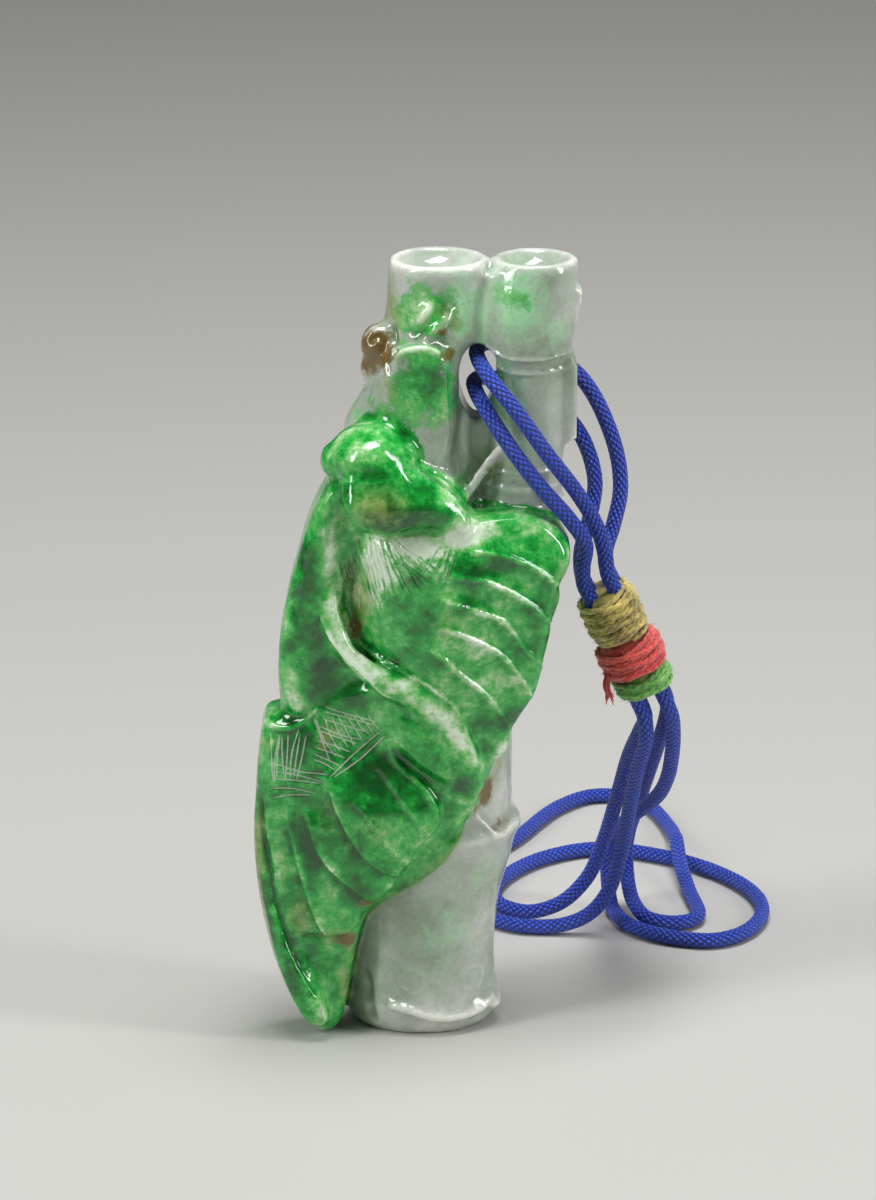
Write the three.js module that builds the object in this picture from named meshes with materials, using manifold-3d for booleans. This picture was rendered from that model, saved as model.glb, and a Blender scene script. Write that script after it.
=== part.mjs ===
// A jadeite pendant: two joined bamboo stems with a bat spread over their front, on a braided cord.
// Millimetres. The object is shaped as it is seen from the front, with x to the right, y up and
// z towards the viewer, z = 0 being the plane through both stems. The last lines stand it on +Z.

import * as THREE from 'three';
import { mergeVertices } from 'three/addons/utils/BufferGeometryUtils.js';
import Module from 'manifold-3d';

const wasm = await Module();
wasm.setup();

// Driving sizes
const CARVING_HEIGHT = 64.2;
const STEM_PLANE_DEPTH = 2.0; // how far the stems' plane lies behind the middle of the stone
const CORD_DIAMETER = 1.25;
const CORD_RADIUS = CORD_DIAMETER / 2;
const TOUCHING_GAP = 0.3;
// Rear faces of the carved layers, in front of the stems' plane
const RIGHT_WING_BACK = 0.6;
const LEFT_WING_BACK = 0.75;
const ARM_BACK = 0.95;
const INSIDE_THE_BAT = 3; // where what lies on the wings starts
const THROUGH = 20; // far enough in front and behind to pass right through the stone
// Sizes of the facets of a carved face
const FINE_CELL = 1.5;
const WING_CELL = 1.65;
const BROAD_CELL = 1.8;

// Turns a closed geometry into a solid that can be cut and joined.
function solid(geometry) {
  geometry.deleteAttribute('normal');
  geometry.deleteAttribute('uv');
  const merged = mergeVertices(geometry, 1e-4);
  const mesh = new wasm.Mesh({
    numProp: 3,
    vertProperties: new Float32Array(merged.attributes.position.array),
    triVerts: new Uint32Array(merged.index.array),
  });
  mesh.merge();
  return new wasm.Manifold(mesh);
}

function geometryOf(manifold) {
  const mesh = manifold.getMesh();
  const geometry = new THREE.BufferGeometry();
  geometry.setAttribute('position', new THREE.BufferAttribute(mesh.vertProperties, 3));
  geometry.setIndex(new THREE.BufferAttribute(mesh.triVerts, 1));
  geometry.computeVertexNormals();
  return geometry;
}

// Value at a place, read from a few [place, value] pairs with a soft step between them.
function between(pairs, at) {
  if (at <= pairs[0][0]) return pairs[0][1];
  for (let i = 1; i < pairs.length; i += 1) {
    const [end, endValue] = pairs[i];
    const [start, startValue] = pairs[i - 1];
    if (at <= end) {
      const t = THREE.MathUtils.smoothstep(at, start, end);
      return startValue + (endValue - startValue) * t;
    }
  }
  return pairs[pairs.length - 1][1];
}

// A bell of the given height, halfWidth away from its middle at 1/e of it.
function bell(distance, halfWidth, height) {
  return height * Math.exp(-((distance / halfWidth) ** 2));
}

function curveThrough(points, closed = false) {
  const vectors = points.map(([x, y, z = 0]) => new THREE.Vector3(x, y, z));
  return new THREE.CatmullRomCurve3(vectors, closed, 'centripetal');
}

// Distance, seen from the front, from a place to a line of vectors.
function lineDistance(line, x, y) {
  const place = new THREE.Vector3(x, y, 0);
  const nearest = new THREE.Vector3();
  const distances = line.slice(1).map((end, i) => {
    new THREE.Line3(line[i], end).closestPointToPoint(place, true, nearest);
    return nearest.distanceTo(place);
  });
  return Math.min(...distances);
}

// Is the place inside the closed outline?
function isInside(outline, x, y) {
  let inside = false;
  outline.forEach((a, i) => {
    const b = outline[(i + 1) % outline.length];
    const crossing = ((b.x - a.x) * (y - a.y)) / (b.y - a.y) + a.x;
    if (a.y > y !== b.y > y && x < crossing) inside = !inside;
  });
  return inside;
}

// How much a rounded edge has fallen at a distance from the outline.
function roundedFall(distance, edge, drop) {
  const t = 1 - THREE.MathUtils.clamp(distance / edge, 0, 1);
  return drop * (1 - Math.sqrt(1 - t * t));
}

// Pushes a flat shape through from one depth to another.
function slab(outline, from, to) {
  const shape = new THREE.Shape(outline.map(([x, y]) => new THREE.Vector2(x, y)));
  const geometry = new THREE.ExtrudeGeometry(shape, { depth: to - from, bevelEnabled: false });
  geometry.translate(0, 0, from);
  return solid(geometry);
}

const POINTS_PER_SPAN = 2;
const SHEET_MARGIN = 0.2; // how far a layer's sheet reaches past its outline before it is trimmed

function smoothOutline(points) {
  const count = points.length * POINTS_PER_SPAN;
  return curveThrough(points, true).getPoints(count).slice(0, -1);
}

// A carved layer: the outline seen from the front, the height of its face, and its rounded edge.
function layer({ outline, face, edge, drop, back, backDrop = 0, cell = FINE_CELL }) {
  const ring = smoothOutline(outline);
  const closedRing = [...ring, ring[0]];
  const box = new THREE.Box3().setFromPoints(ring).expandByScalar(SHEET_MARGIN);
  const size = box.getSize(new THREE.Vector3());
  const middle = box.getCenter(new THREE.Vector3());
  const block = new THREE.BoxGeometry(
    size.x, size.y, 1, Math.round(size.x / cell), Math.round(size.y / cell), 1,
  );
  block.translate(middle.x, middle.y, 0);
  const position = block.attributes.position;
  for (let i = 0; i < position.count; i += 1) {
    const x = position.getX(i);
    const y = position.getY(i);
    const inside = isInside(ring, x, y) ? lineDistance(closedRing, x, y) : 0;
    const front = face(x, y) - roundedFall(inside, edge, drop);
    const rear = back + roundedFall(inside, edge, backDrop);
    position.setZ(i, position.getZ(i) > 0 ? front : rear);
  }
  return solid(block).intersect(slab(ring.map((p) => [p.x, p.y]), -THROUGH, THROUGH));
}

const BAR_TIP = 0.05; // half width that is left at a bar's buried ends
const BLUNTNESS = 12; // the higher, the blunter a bar's ends

// A rounded bar along a curve: a cylinder bent along it, with its own half width at each step.
function bar({ line, halfWidth, flat = 1, sides = 8, steps = 9 }) {
  const path = curveThrough(line);
  const { normals, binormals } = path.computeFrenetFrames(steps, false);
  const geometry = new THREE.CylinderGeometry(1, 1, 1, sides, steps);
  const position = geometry.attributes.position;
  const offset = new THREE.Vector3();
  for (let i = 0; i < position.count; i += 1) {
    const step = Math.round((position.getY(i) + 0.5) * steps);
    const share = step / steps;
    const taper = Math.sqrt(1 - (2 * share - 1) ** BLUNTNESS);
    const size = Math.max(BAR_TIP, between(halfWidth, share) * taper);
    offset.set(0, 0, 0);
    offset.addScaledVector(binormals[step], position.getX(i) * size);
    offset.addScaledVector(normals[step], position.getZ(i) * size);
    offset.z *= flat;
    position.setXYZ(i, ...path.getPointAt(share).add(offset).toArray());
  }
  return solid(geometry);
}

const BOULDER_SIDES = 11;
const BOULDER_TIERS = 7;

function boulder({ centre, half, turn = 0 }) {
  const geometry = new THREE.SphereGeometry(1, BOULDER_SIDES, BOULDER_TIERS);
  geometry.scale(...half);
  geometry.rotateZ(turn);
  geometry.translate(...centre);
  return solid(geometry);
}

// The thick stem: half width and middle at each height, how round it is, its raised rings, and
// the heights where its facets meet.
const THICK_STEM = {
  foot: 0,
  halfWidth: [
    [0, 5.5], [0.9, 6.15], [2.2, 6.4], [3.4, 6.1], [6, 5.95], [10, 6.2], [15, 6.7], [16.8, 7.0],
    [19, 6.45], [26, 6.3], [36, 6.0], [45, 5.6], [50, 5.1], [54, 4.25], [57.5, 3.7], [61, 3.7], [64.2, 4.0],
  ],
  middle: [
    [0, 0.2], [9, 0.2], [17, 1.1], [26, 1.3], [36, 0.2], [45, -0.7], [50, -0.9], [55, 0.2], [58, 0.9],
    [61, 1.2], [64, 1.65],
  ],
  depth: [[0, 0.86], [20, 0.9], [40, 0.92], [56, 1], [64, 1]],
  rings: [{ at: 16.9, height: 0.3 }],
  tiers: [0.9, 2.2, 3.4, 6, 10, 13, 15, 16.3, 16.9, 17.5, 19, 22.5, 26, 31, 36, 41, 45, 50, 52, 54, 57.5, 61],
  sides: 20,
};

// The thin stem grows out of the thick one behind the bat and leans away to the right.
const THIN_STEM = {
  foot: 22,
  halfWidth: [
    [22, 2.5], [30, 3.4], [40, 3.6], [50, 3.2], [55, 3.2], [57.6, 3.7], [61, 3.75], [64.2, 3.45],
  ],
  middle: [
    [22, 4.2], [34, 6.6], [41, 7.6], [46, 8.2], [50, 8.6], [56, 8.6], [58, 8.7], [61, 8.85], [64, 9.25],
  ],
  depth: [[22, 1], [64, 1]],
  rings: [
    { at: 45.8, height: 0.15 }, { at: 47.1, height: 0.15 },
    { at: 55.3, height: 0.2 }, { at: 56.5, height: 0.2 },
  ],
  tiers: [26, 30, 34, 38, 42, 45.3, 45.8, 46.45, 47.1, 47.6, 51, 54.8, 55.3, 55.9, 56.5, 57.6, 61],
  sides: 16,
};

const RING_HALF_WIDTH = 0.4;
// The cut top of each stem: a rounded rim round a shallow dish.
const RIM_STRAIGHT = 0.8;
const RIM_ROUND = 0.35;
const RIM_WALL = 0.75;
const RIM_SLOPE = 0.6;
const RIM_DISH = 1.6;
const DISH_SHOULDER = 0.75; // share of the dish's depth where its floor starts

function stem({ foot, halfWidth, middle, depth, rings, tiers, sides }) {
  const radiusAt = (y) => {
    const raised = rings.map(({ at, height }) => bell(y - at, RING_HALF_WIDTH, height));
    return raised.reduce((sum, value) => sum + value, between(halfWidth, y));
  };
  const top = CARVING_HEIGHT;
  const rim = radiusAt(top);
  const inner = rim - RIM_WALL;
  const profile = [
    [0, foot], [radiusAt(foot), foot],
    ...tiers.map((y) => [radiusAt(y), y]),
    [rim, top - RIM_STRAIGHT], [rim - RIM_ROUND / 3, top - RIM_ROUND / 2], [rim - RIM_ROUND, top],
    [inner, top - RIM_ROUND / 2], [inner - RIM_SLOPE, top - RIM_DISH * DISH_SHOULDER], [0, top - RIM_DISH],
  ];
  const geometry = new THREE.LatheGeometry(profile.map(([r, y]) => new THREE.Vector2(r, y)), sides);
  const position = geometry.attributes.position;
  for (let i = 0; i < position.count; i += 1) {
    const y = position.getY(i);
    position.setX(i, position.getX(i) + between(middle, y));
    position.setZ(i, position.getZ(i) * between(depth, y));
  }
  return solid(geometry);
}

// Slivers of stone that join the stems over and under the slot, and leaf sheaths that stand off
// the thin stem's right side, each with its outline and how deep it is.
const SLIVERS = [
  { outline: [[3.6, 45.5], [6.5, 45.5], [6.4, 51.9], [3.3, 51.9]], depth: 3.2 },
  { outline: [[3.4, 57.4], [6.8, 57.2], [6.8, 63.3], [3.4, 63.3]], depth: 5.2 },
  { outline: [[11.2, 57.2], [12.2, 57], [13.1, 61.5], [12.7, 62.1], [11.2, 61.6]], depth: 3 },
  { outline: [[11.2, 49], [12.6, 49.3], [12.65, 55.4], [12.1, 56.8], [11.2, 55.8]], depth: 3.4 },
];

// The slot between the stems, through which the cord passes.
const SLOT = [
  [4.6, 57.5], [5.9, 56.8], [6.2, 54.8], [5.6, 52.6], [4.7, 51.0], [3.6, 52.3], [3.2, 54.4], [3.5, 56.4],
];

// The rolled rim where the left wing laps over the right one, from the pocket down.
const ROLLED_RIM = {
  line: [
    [-6.9, 39.2, 6.3], [-6.8, 36.4, 6.9], [-6.0, 34.0, 7.3], [-4.2, 32.1, 7.6], [-1.4, 30.6, 7.7],
    [1.2, 28.9, 7.6], [3.0, 26.7, 7.2], [4.3, 24.4, 6.6],
  ],
  halfWidth: [[0, 0.5], [0.25, 0.8], [0.6, 1.1], [1, 0.7]],
  flat: 0.85,
};
const RIM_STEPS = 16;
const RIM_FROM_FRONT = curveThrough(ROLLED_RIM.line.map(([x, y]) => [x, y])).getPoints(RIM_STEPS);

// The bat's right wing with its body: the face is highest along the body and falls away to the
// right, downwards, upwards and under the rolled rim.
const RIGHT_WING_EDGE = [
  [-4.4, 44.4], [0, 45], [4.2, 44.3], [8.4, 44.3], [10.8, 43.2], [12.1, 41.2], [11.9, 39.6],
  [11.2, 38.4], [11.3, 37.3], [10.6, 35.3], [10.5, 34.2], [10.0, 32.1], [9.9, 31.2], [8.9, 28.7],
  [7.5, 26.6], [7.0, 24.4], [6.1, 23.8], [4.8, 21.8], [0, 24], [-4, 28], [-6.2, 33], [-6.1, 37],
  [-5.2, 39.2], [-4.6, 42],
];
const RIGHT_CREST = { x: 2, height: 9.1, below: 38, above: 41 };
const RIGHT_FALL = { right: 0.36, left: 0.055, down: 0.07, up: 0.35 };
const UNDER_RIM = { depth: 0.9, reach: 2.0 };

function rightFace(x, y) {
  const aside = x - RIGHT_CREST.x;
  const across = aside > 0 ? RIGHT_FALL.right * aside : RIGHT_FALL.left * aside ** 2;
  const down = RIGHT_FALL.down * Math.max(0, RIGHT_CREST.below - y);
  const up = RIGHT_FALL.up * Math.max(0, y - RIGHT_CREST.above);
  const hollow = bell(lineDistance(RIM_FROM_FRONT, x, y), UNDER_RIM.reach, UNDER_RIM.depth);
  return RIGHT_CREST.height - across - down - up - hollow;
}

const RIGHT_WING_RIBS = [
  [[3.9, 42.0], [6.5, 41.5], [8.9, 40.4], [11.2, 38.5]],
  [[2.3, 40.3], [6.5, 38.9], [8.9, 37.2], [10.6, 35.4]],
  [[1.7, 38.4], [6.5, 36.2], [8.5, 33.4], [9.9, 32.0]],
  [[1.6, 36.1], [4.9, 34.4], [8.1, 31.2], [9.1, 29.0]],
  [[0.9, 34.3], [3.1, 32.1], [6.1, 29.0], [7.4, 26.8]],
];
const RIB_HALF_WIDTH = 0.25;
const RIB_RISE = 0.2;

// A raised line on the right wing, following its face.
function rib(points) {
  const steps = 5;
  const line = curveThrough(points).getSpacedPoints(steps);
  return bar({
    line: line.map(({ x, y }) => [x, y, rightFace(x, y) + RIB_RISE - RIB_HALF_WIDTH]),
    halfWidth: [[0, RIB_HALF_WIDTH]],
    sides: 4,
    steps,
  });
}

// The plate behind the forearm and the web that joins it to the body, and the forearm's band.
const ARM_PLATE = [
  [-5.4, 49], [-7.4, 46.6], [-8.8, 43.6], [-9.9, 39.4], [-10.7, 35.5], [-11.2, 32.5], [-11.2, 30],
  [-10.8, 28], [-9, 26], [-3, 26], [-1, 30], [-4.5, 33.5], [-5.8, 37.5], [-4.4, 42], [-3.4, 46],
];
const ARM_PLATE_HEIGHT = 6.5;
const ARM_BAND = [
  [-5.6, 48.2], [-7.2, 46.8], [-8.6, 44], [-9.6, 41], [-10.4, 38], [-11, 34.8], [-11.2, 32],
  [-10.9, 29.6], [-9.6, 28], [-8.4, 28.6], [-7.9, 31], [-7.4, 34.3], [-6.9, 38.4], [-6.3, 41.6],
  [-5.9, 44.5], [-5.2, 46.5],
];
const ARM_MIDDLE = [
  [28, -9.7], [31, -9.7], [34.3, -9.4], [38.4, -8.7], [41.5, -8.1], [45, -7.3], [48, -6.4],
];
const ARM_CREST = 7.3;
const ARM_ROUND = 0.3;

function armFace(x, y) {
  return ARM_CREST - ARM_ROUND * (x - between(ARM_MIDDLE, y)) ** 2;
}

// The left wing hangs from the wrist to the tip that touches the table. Its face rises towards
// the rolled rim and the wrist, and falls towards the tip.
const LEFT_WING = [
  [-10.8, 27.8], [-12.2, 27.5], [-12.8, 25], [-13.1, 21.3], [-13.3, 17.4], [-12.9, 12], [-11.6, 6.2],
  [-9.6, 1.7], [-7.7, 0], [-6.4, 1.0], [-5.7, 4.1], [-4.9, 8.4], [-4.1, 10.7], [-1.2, 13.1],
  [1.6, 15.3], [3.6, 18.6], [5.3, 21.8], [5.2, 23.6], [3.8, 27], [0, 30.6], [-5, 30.4], [-8.4, 29],
  [-9.4, 27.9],
];
const LEFT_HEIGHT = 6.5;
const TOWARDS_RIM = { height: 1.35, reach: 2.6 };
const WRIST = { x: -9.5, y: 24, height: 0.7, reach: 4 };
const TIP_FALL = { below: 19, slope: 0.07 };

function leftFace(x, y) {
  const towardsRim = bell(lineDistance(RIM_FROM_FRONT, x, y), TOWARDS_RIM.reach, TOWARDS_RIM.height);
  const wrist = bell(Math.hypot(x - WRIST.x, y - WRIST.y), WRIST.reach, WRIST.height);
  return LEFT_HEIGHT + towardsRim + wrist - TIP_FALL.slope * Math.max(0, TIP_FALL.below - y);
}

// Feather lobes lie on the left wing like tiles, the innermost one highest. Each stands off the
// wing's face by its rise at its lower end, and by nothing at its top.
const LOBE_RAMP = 8;
const LEFT_LOBES = [
  {
    rise: 1.1,
    top: 26.5,
    outline: [
      [-2.4, 27.4], [-1.4, 23.9], [0.8, 21.7], [1.7, 19.8], [1.3, 18.3], [0.0, 17.0], [-0.4, 16.2],
      [-1.6, 14.6], [-2.8, 15.0], [-4.9, 16.9], [-6.1, 19.4], [-7.6, 22.6], [-5.8, 25.6],
    ],
  },
  {
    rise: 0.85,
    top: 23.4,
    outline: [
      [-7.4, 22.8], [-4.6, 17.5], [-1.7, 14.7], [-2.2, 13.2], [-3.6, 12.2], [-5.2, 13.2],
      [-7.4, 15.2], [-8.6, 17.2], [-9.3, 20.4],
    ],
  },
  {
    rise: 0.55,
    top: 22.2,
    outline: [
      [-9.0, 21.6], [-7.6, 15.8], [-4.9, 12.6], [-4.7, 10.6], [-5.6, 9.3], [-7.2, 8.8], [-8.3, 9.6],
      [-9.3, 12.4], [-10.3, 15.7], [-10.9, 20],
    ],
  },
  {
    rise: 0.3,
    top: 21.6,
    outline: [
      [-10.8, 21.2], [-9.9, 15], [-8.5, 11], [-8.3, 9], [-9.4, 8.5], [-10.4, 9.2], [-11.2, 12],
      [-11.9, 16], [-12, 21],
    ],
  },
];

function lobe({ rise, top, outline }) {
  const standingOff = (y) => between([[top - LOBE_RAMP, rise], [top, 0]], y);
  return layer({
    outline,
    face: (x, y) => leftFace(x, y) + standingOff(y),
    edge: 0.3,
    drop: 0.25,
    back: INSIDE_THE_BAT + 1,
  });
}

const OUTER_RIM = {
  line: [
    [-12.2, 21, 5.4], [-12.3, 17, 5.6], [-11.8, 12, 5.8], [-10.5, 7.2, 5.9], [-8.9, 3.4, 6], [-7.7, 1.25, 6],
  ],
  halfWidth: [[0, 0.5], [0.4, 0.8], [0.8, 1.2], [1, 1.2]],
};

// The head hangs over the body like a hood, its lower edge undercut by the pocket.
const HOOD = [
  [-6.1, 46.9], [-5.9, 48.7], [-5.2, 50.2], [-3.1, 50.9], [-1.0, 49.8], [-0.2, 48.5], [1.9, 47.2],
  [3.2, 46.0], [4.1, 44.4], [4.1, 43.3], [2.9, 43.5], [1.2, 44.0], [-0.6, 44.1], [-2.0, 43.6],
  [-3.4, 43.5], [-4.8, 44.1], [-5.7, 45.2],
];
const HOOD_CREST = { x: -2, y: 46, height: 10.0 };
const HOOD_FALL = { right: 0.2, up: 0.38 };

function hoodFace(x, y) {
  const right = HOOD_FALL.right * Math.max(0, x - HOOD_CREST.x);
  const up = HOOD_FALL.up * Math.max(0, y - HOOD_CREST.y);
  return HOOD_CREST.height - right - up;
}

// The skull, its brow, and an ear on each side
const HEAD = [
  { centre: [-3.9, 49.2, 5.2], half: [3.2, 2.5, 4.0] },
  { centre: [-4.5, 49.5, 7.0], half: [1.5, 1.35, 2.0] },
  { centre: [-6.7, 48.8, 5.2], half: [1.1, 1.4, 1.9] },
  { centre: [-1.7, 49.3, 5.9], half: [1.5, 1.4, 2.2] },
];

function bat() {
  return [
    layer({
      outline: RIGHT_WING_EDGE, face: rightFace, edge: 0.7, drop: 0.6,
      back: RIGHT_WING_BACK, backDrop: 0.7, cell: WING_CELL,
    }),
    ...RIGHT_WING_RIBS.map(rib),
    layer({
      outline: ARM_PLATE, face: () => ARM_PLATE_HEIGHT, edge: 1.2, drop: 1.2,
      back: ARM_BACK, backDrop: 0.9, cell: BROAD_CELL,
    }),
    layer({ outline: ARM_BAND, face: armFace, edge: 0.7, drop: 0.6, back: INSIDE_THE_BAT }),
    layer({
      outline: LEFT_WING, face: leftFace, edge: 1.0, drop: 0.9,
      back: LEFT_WING_BACK, backDrop: 0.9, cell: WING_CELL,
    }),
    ...LEFT_LOBES.map(lobe),
    bar(ROLLED_RIM),
    bar(OUTER_RIM),
    layer({ outline: HOOD, face: hoodFace, edge: 1.6, drop: 1.3, back: INSIDE_THE_BAT }),
    ...HEAD.map(boulder),
  ];
}

// What grows on the stems: the next joint's sheath over the head, three twigs, a bud and its scar,
// and knobs at the joints.
const NEXT_JOINT = [
  [-2.2, 57.4], [0.2, 58], [2.4, 57.1], [3.0, 54], [3.1, 50.5], [2.2, 48.4], [-1, 48.6], [-4.2, 50.4],
  [-3.5, 54],
];
const SHEATH_CREST = { x: -0.2, height: 5.2 };
const SHEATH_ROUND = 0.13;
const TWIGS = [
  {
    line: [[0.4, 58.2, 3.9], [1.7, 59.4, 4.0], [2.9, 60.6, 3.4]],
    halfWidth: [[0, 0.3], [0.5, 0.6], [1, 0.3]],
  },
  {
    line: [[-0.2, 59.5, 3.9], [0.7, 60.5, 3.9], [1.5, 61.5, 3.5]],
    halfWidth: [[0, 0.25], [0.5, 0.45], [1, 0.25]],
  },
  {
    line: [[3.6, 45.2, 4.1], [5.1, 47.3, 3.3], [6.6, 49.3, 2.8]],
    halfWidth: [[0, 0.4], [0.5, 0.45], [1, 0.4]],
  },
];
const KNOBS = [
  { centre: [-3.1, 57.2, 1.2], half: [1.5, 1.75, 1.6] },
  { centre: [-3.6, 55.4, 0.8], half: [1.0, 1.5, 1.3], turn: -0.3 },
  { centre: [11.3, 44.2, 0.6], half: [0.6, 0.6, 0.6] },
  { centre: [7.3, 17.4, 1.0], half: [1.1, 0.8, 2.2] },
  { centre: [6.0, 1.9, 1.2], half: [0.8, 0.7, 2.0] },
];

function growths() {
  return [
    layer({
      outline: NEXT_JOINT,
      face: (x) => SHEATH_CREST.height - SHEATH_ROUND * (x - SHEATH_CREST.x) ** 2,
      edge: 0.8,
      drop: 0.5,
      back: 1,
    }),
    ...TWIGS.map((twig) => bar({ ...twig, sides: 6, steps: 5 })),
    ...KNOBS.map(boulder),
    ...SLIVERS.map(({ outline, depth }) => slab(outline, -depth / 2, depth / 2)),
  ];
}

function carving() {
  const stone = wasm.Manifold.union([stem(THICK_STEM), stem(THIN_STEM), ...bat(), ...growths()]);
  const slot = slab(smoothOutline(SLOT).map((p) => [p.x, p.y]), -THROUGH, THROUGH);
  return geometryOf(stone.subtract(slot));
}

// The whipping's axis, from where the upper strands enter to where the loops leave.
const WHIPPING_TOP = new THREE.Vector3(14.8, 36.3, -0.4);
const WHIPPING_FOOT = new THREE.Vector3(18.6, 27.5, -1.6);
const WHIPPING_AXIS = WHIPPING_FOOT.clone().sub(WHIPPING_TOP).normalize();
const WHIPPING_BANDS = [
  { name: 'yellow_thread_whipping', share: 0.48, width: 4.9, colour: 0xc9a227 },
  { name: 'red_thread_whipping', share: 0.31, width: 5.5, colour: 0xc7322f },
  { name: 'green_thread_whipping', share: 0.21, width: 5.0, colour: 0x4f9a2c },
];
const BAND_ROUND = 0.4;
const BAND_SIDES = 12;
const STRANDS_ABREAST = 1.05; // half the distance between two strands side by side
const STRANDS_DEEP = 0.85; // and between two strands one behind the other
const LEAD = 1.5; // how far a strand runs on straight from the whipping

// The first two points of strand 0 to 3 as it leaves one end of the whipping, just clear of it.
function leaving(atTop, number) {
  const sideways = new THREE.Vector3(0, 0, 1).cross(WHIPPING_AXIS).normalize();
  const forwards = WHIPPING_AXIS.clone().cross(sideways);
  const outwards = WHIPPING_AXIS.clone().multiplyScalar(atTop ? -1 : 1);
  const port = (atTop ? WHIPPING_TOP : WHIPPING_FOOT).clone();
  port.addScaledVector(sideways, number % 2 ? STRANDS_ABREAST : -STRANDS_ABREAST);
  port.addScaledVector(forwards, number < 2 ? STRANDS_DEEP : -STRANDS_DEEP);
  return [TOUCHING_GAP, LEAD].map((away) => port.clone().addScaledVector(outwards, away).toArray());
}

// Each upper strand goes up in front of the thin stem, through the slot and down behind it.
const UPPER_STRANDS = {
  cord_upper_strand_a: [
    ...leaving(true, 1), [15.0, 39.6, 0.9], [14.3, 42.2, 1.7], [12.7, 45.4, 3.2], [10.2, 49.1, 4.6],
    [7.5, 53.0, 4.9], [5.7, 55.1, 4.0], [4.8, 56.0, 1.6], [4.7, 56.2, -1.2], [5.6, 56.1, -3.6],
    [8.4, 55.7, -4.9], [12.9, 53.2, -4.4], [15.6, 48.2, -3.8], [16.3, 44.2, -3.1], [15.7, 41.3, -2.0],
    [15.1, 39.5, -1.2], ...leaving(true, 3).reverse(),
  ],
  cord_upper_strand_b: [
    ...leaving(true, 0), [13.2, 38.7, 1.1], [13.35, 41.0, 2.4], [12.0, 43.5, 3.8], [9.7, 46.4, 4.7],
    [7.5, 49.4, 4.9], [5.6, 52.2, 4.1], [4.6, 53.4, 1.6], [4.5, 53.6, -1.2], [5.6, 53.2, -3.6],
    [8.6, 52.0, -4.8], [12.6, 49.0, -4.2], [14.2, 45.0, -3.2], [13.8, 41.8, -2.3], [13.1, 39.2, -1.4],
    ...leaving(true, 2).reverse(),
  ],
};

// The loops lie on the table behind and to the right of the stone.
const ON_TABLE = CORD_RADIUS + 0.1;
const OVER_CORD = ON_TABLE + CORD_DIAMETER + 0.5;
const LOOPS = {
  cord_loop_a: [
    ...leaving(false, 1), [20.6, 25.2, -1.5], [20.8, 23.2, -3.0], [20.8, 20.4, -5.6], [20.6, 17.6, -8.6],
    [20.0, 14.9, -12.0], [18.9, 12.7, -15.2], [17.7, 10.5, -18.5], [16.9, 8.4, -22.0],
    [16.4, 6.1, -25.0], [16.2, 3.8, -25.8], [16.3, 1.9, -25.2], [16.5, 0.85, -23.9],
    [17.0, ON_TABLE, -21.4], [18.1, ON_TABLE, -18.8], [20.2, ON_TABLE, -16.8], [22.6, ON_TABLE, -15.6],
    [24.9, ON_TABLE, -15.3], [26.9, ON_TABLE, -16.4], [28.6, ON_TABLE, -19.0], [29.5, ON_TABLE, -22.8],
    [28.9, ON_TABLE, -27.2], [26.2, ON_TABLE, -32.2], [21.4, ON_TABLE, -36.6], [15.6, ON_TABLE, -38.6],
    [10.9, ON_TABLE, -36.2], [7.7, ON_TABLE, -31.8], [6.4, ON_TABLE, -27.3], [7.2, ON_TABLE, -23.8],
    [9.6, 0.9, -21.9], [12.2, 2.0, -21.3], [14.3, 4.4, -20.7], [15.6, 8.4, -18.6], [16.6, 14.0, -14.0],
    [17.4, 19.4, -9.0], [18.2, 23.0, -5.0], [18.5, 24.6, -3.2], ...leaving(false, 2).reverse(),
  ],
  cord_loop_b: [
    ...leaving(false, 3), [20.3, 25.4, -3.3], [20.2, 23.7, -5.0], [19.6, 18.9, -10.8],
    [18.9, 13.8, -17.1], [18.4, 10.0, -21.7], [18.0, 7.2, -25.0], [17.8, 5.1, -25.8],
    [17.9, 3.2, -25.2], [18.1, 2.1, -23.6], [18.5, 1.6, -21.6], [19.4, 1.1, -19.9], [21.1, 0.9, -19.2],
    [22.8, 0.8, -19.7], [23.9, ON_TABLE, -21.4], [23.4, 0.8, -27.4], [22.8, 1.6, -32.2],
    [22.6, OVER_CORD, -35.8], [22.6, 1.6, -39.4], [22.3, 0.8, -44.2], [20.6, ON_TABLE, -50.4],
    [18.4, ON_TABLE, -52.9], [15.6, ON_TABLE, -53.1], [12.5, ON_TABLE, -50], [8.6, ON_TABLE, -41.6],
    [4.9, ON_TABLE, -34.5], [4.2, ON_TABLE, -27], [5.4, ON_TABLE, -21.8], [8.4, ON_TABLE, -19.0],
    [12.0, 0.9, -18.5], [14.4, 2.0, -18.2], [16.0, 4.4, -17.2], [17.0, 8.6, -14.9], [17.5, 14.0, -10.4],
    [18.0, 19.4, -5.4], [18.5, 22.8, -2.3], [18.5, 24.4, -1.3], ...leaving(false, 0).reverse(),
  ],
};

const CORD_STEP = 3 * CORD_DIAMETER;
const CORD_HALF_SIDES = 4;

function cordTube(points) {
  const path = curveThrough(points);
  const section = new THREE.Shape();
  section.absarc(0, 0, CORD_RADIUS, 0, Math.PI * 2, false);
  return new THREE.ExtrudeGeometry(section, {
    curveSegments: CORD_HALF_SIDES,
    steps: Math.round(path.getLength() / CORD_STEP),
    bevelEnabled: false,
    extrudePath: path,
  });
}

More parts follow.
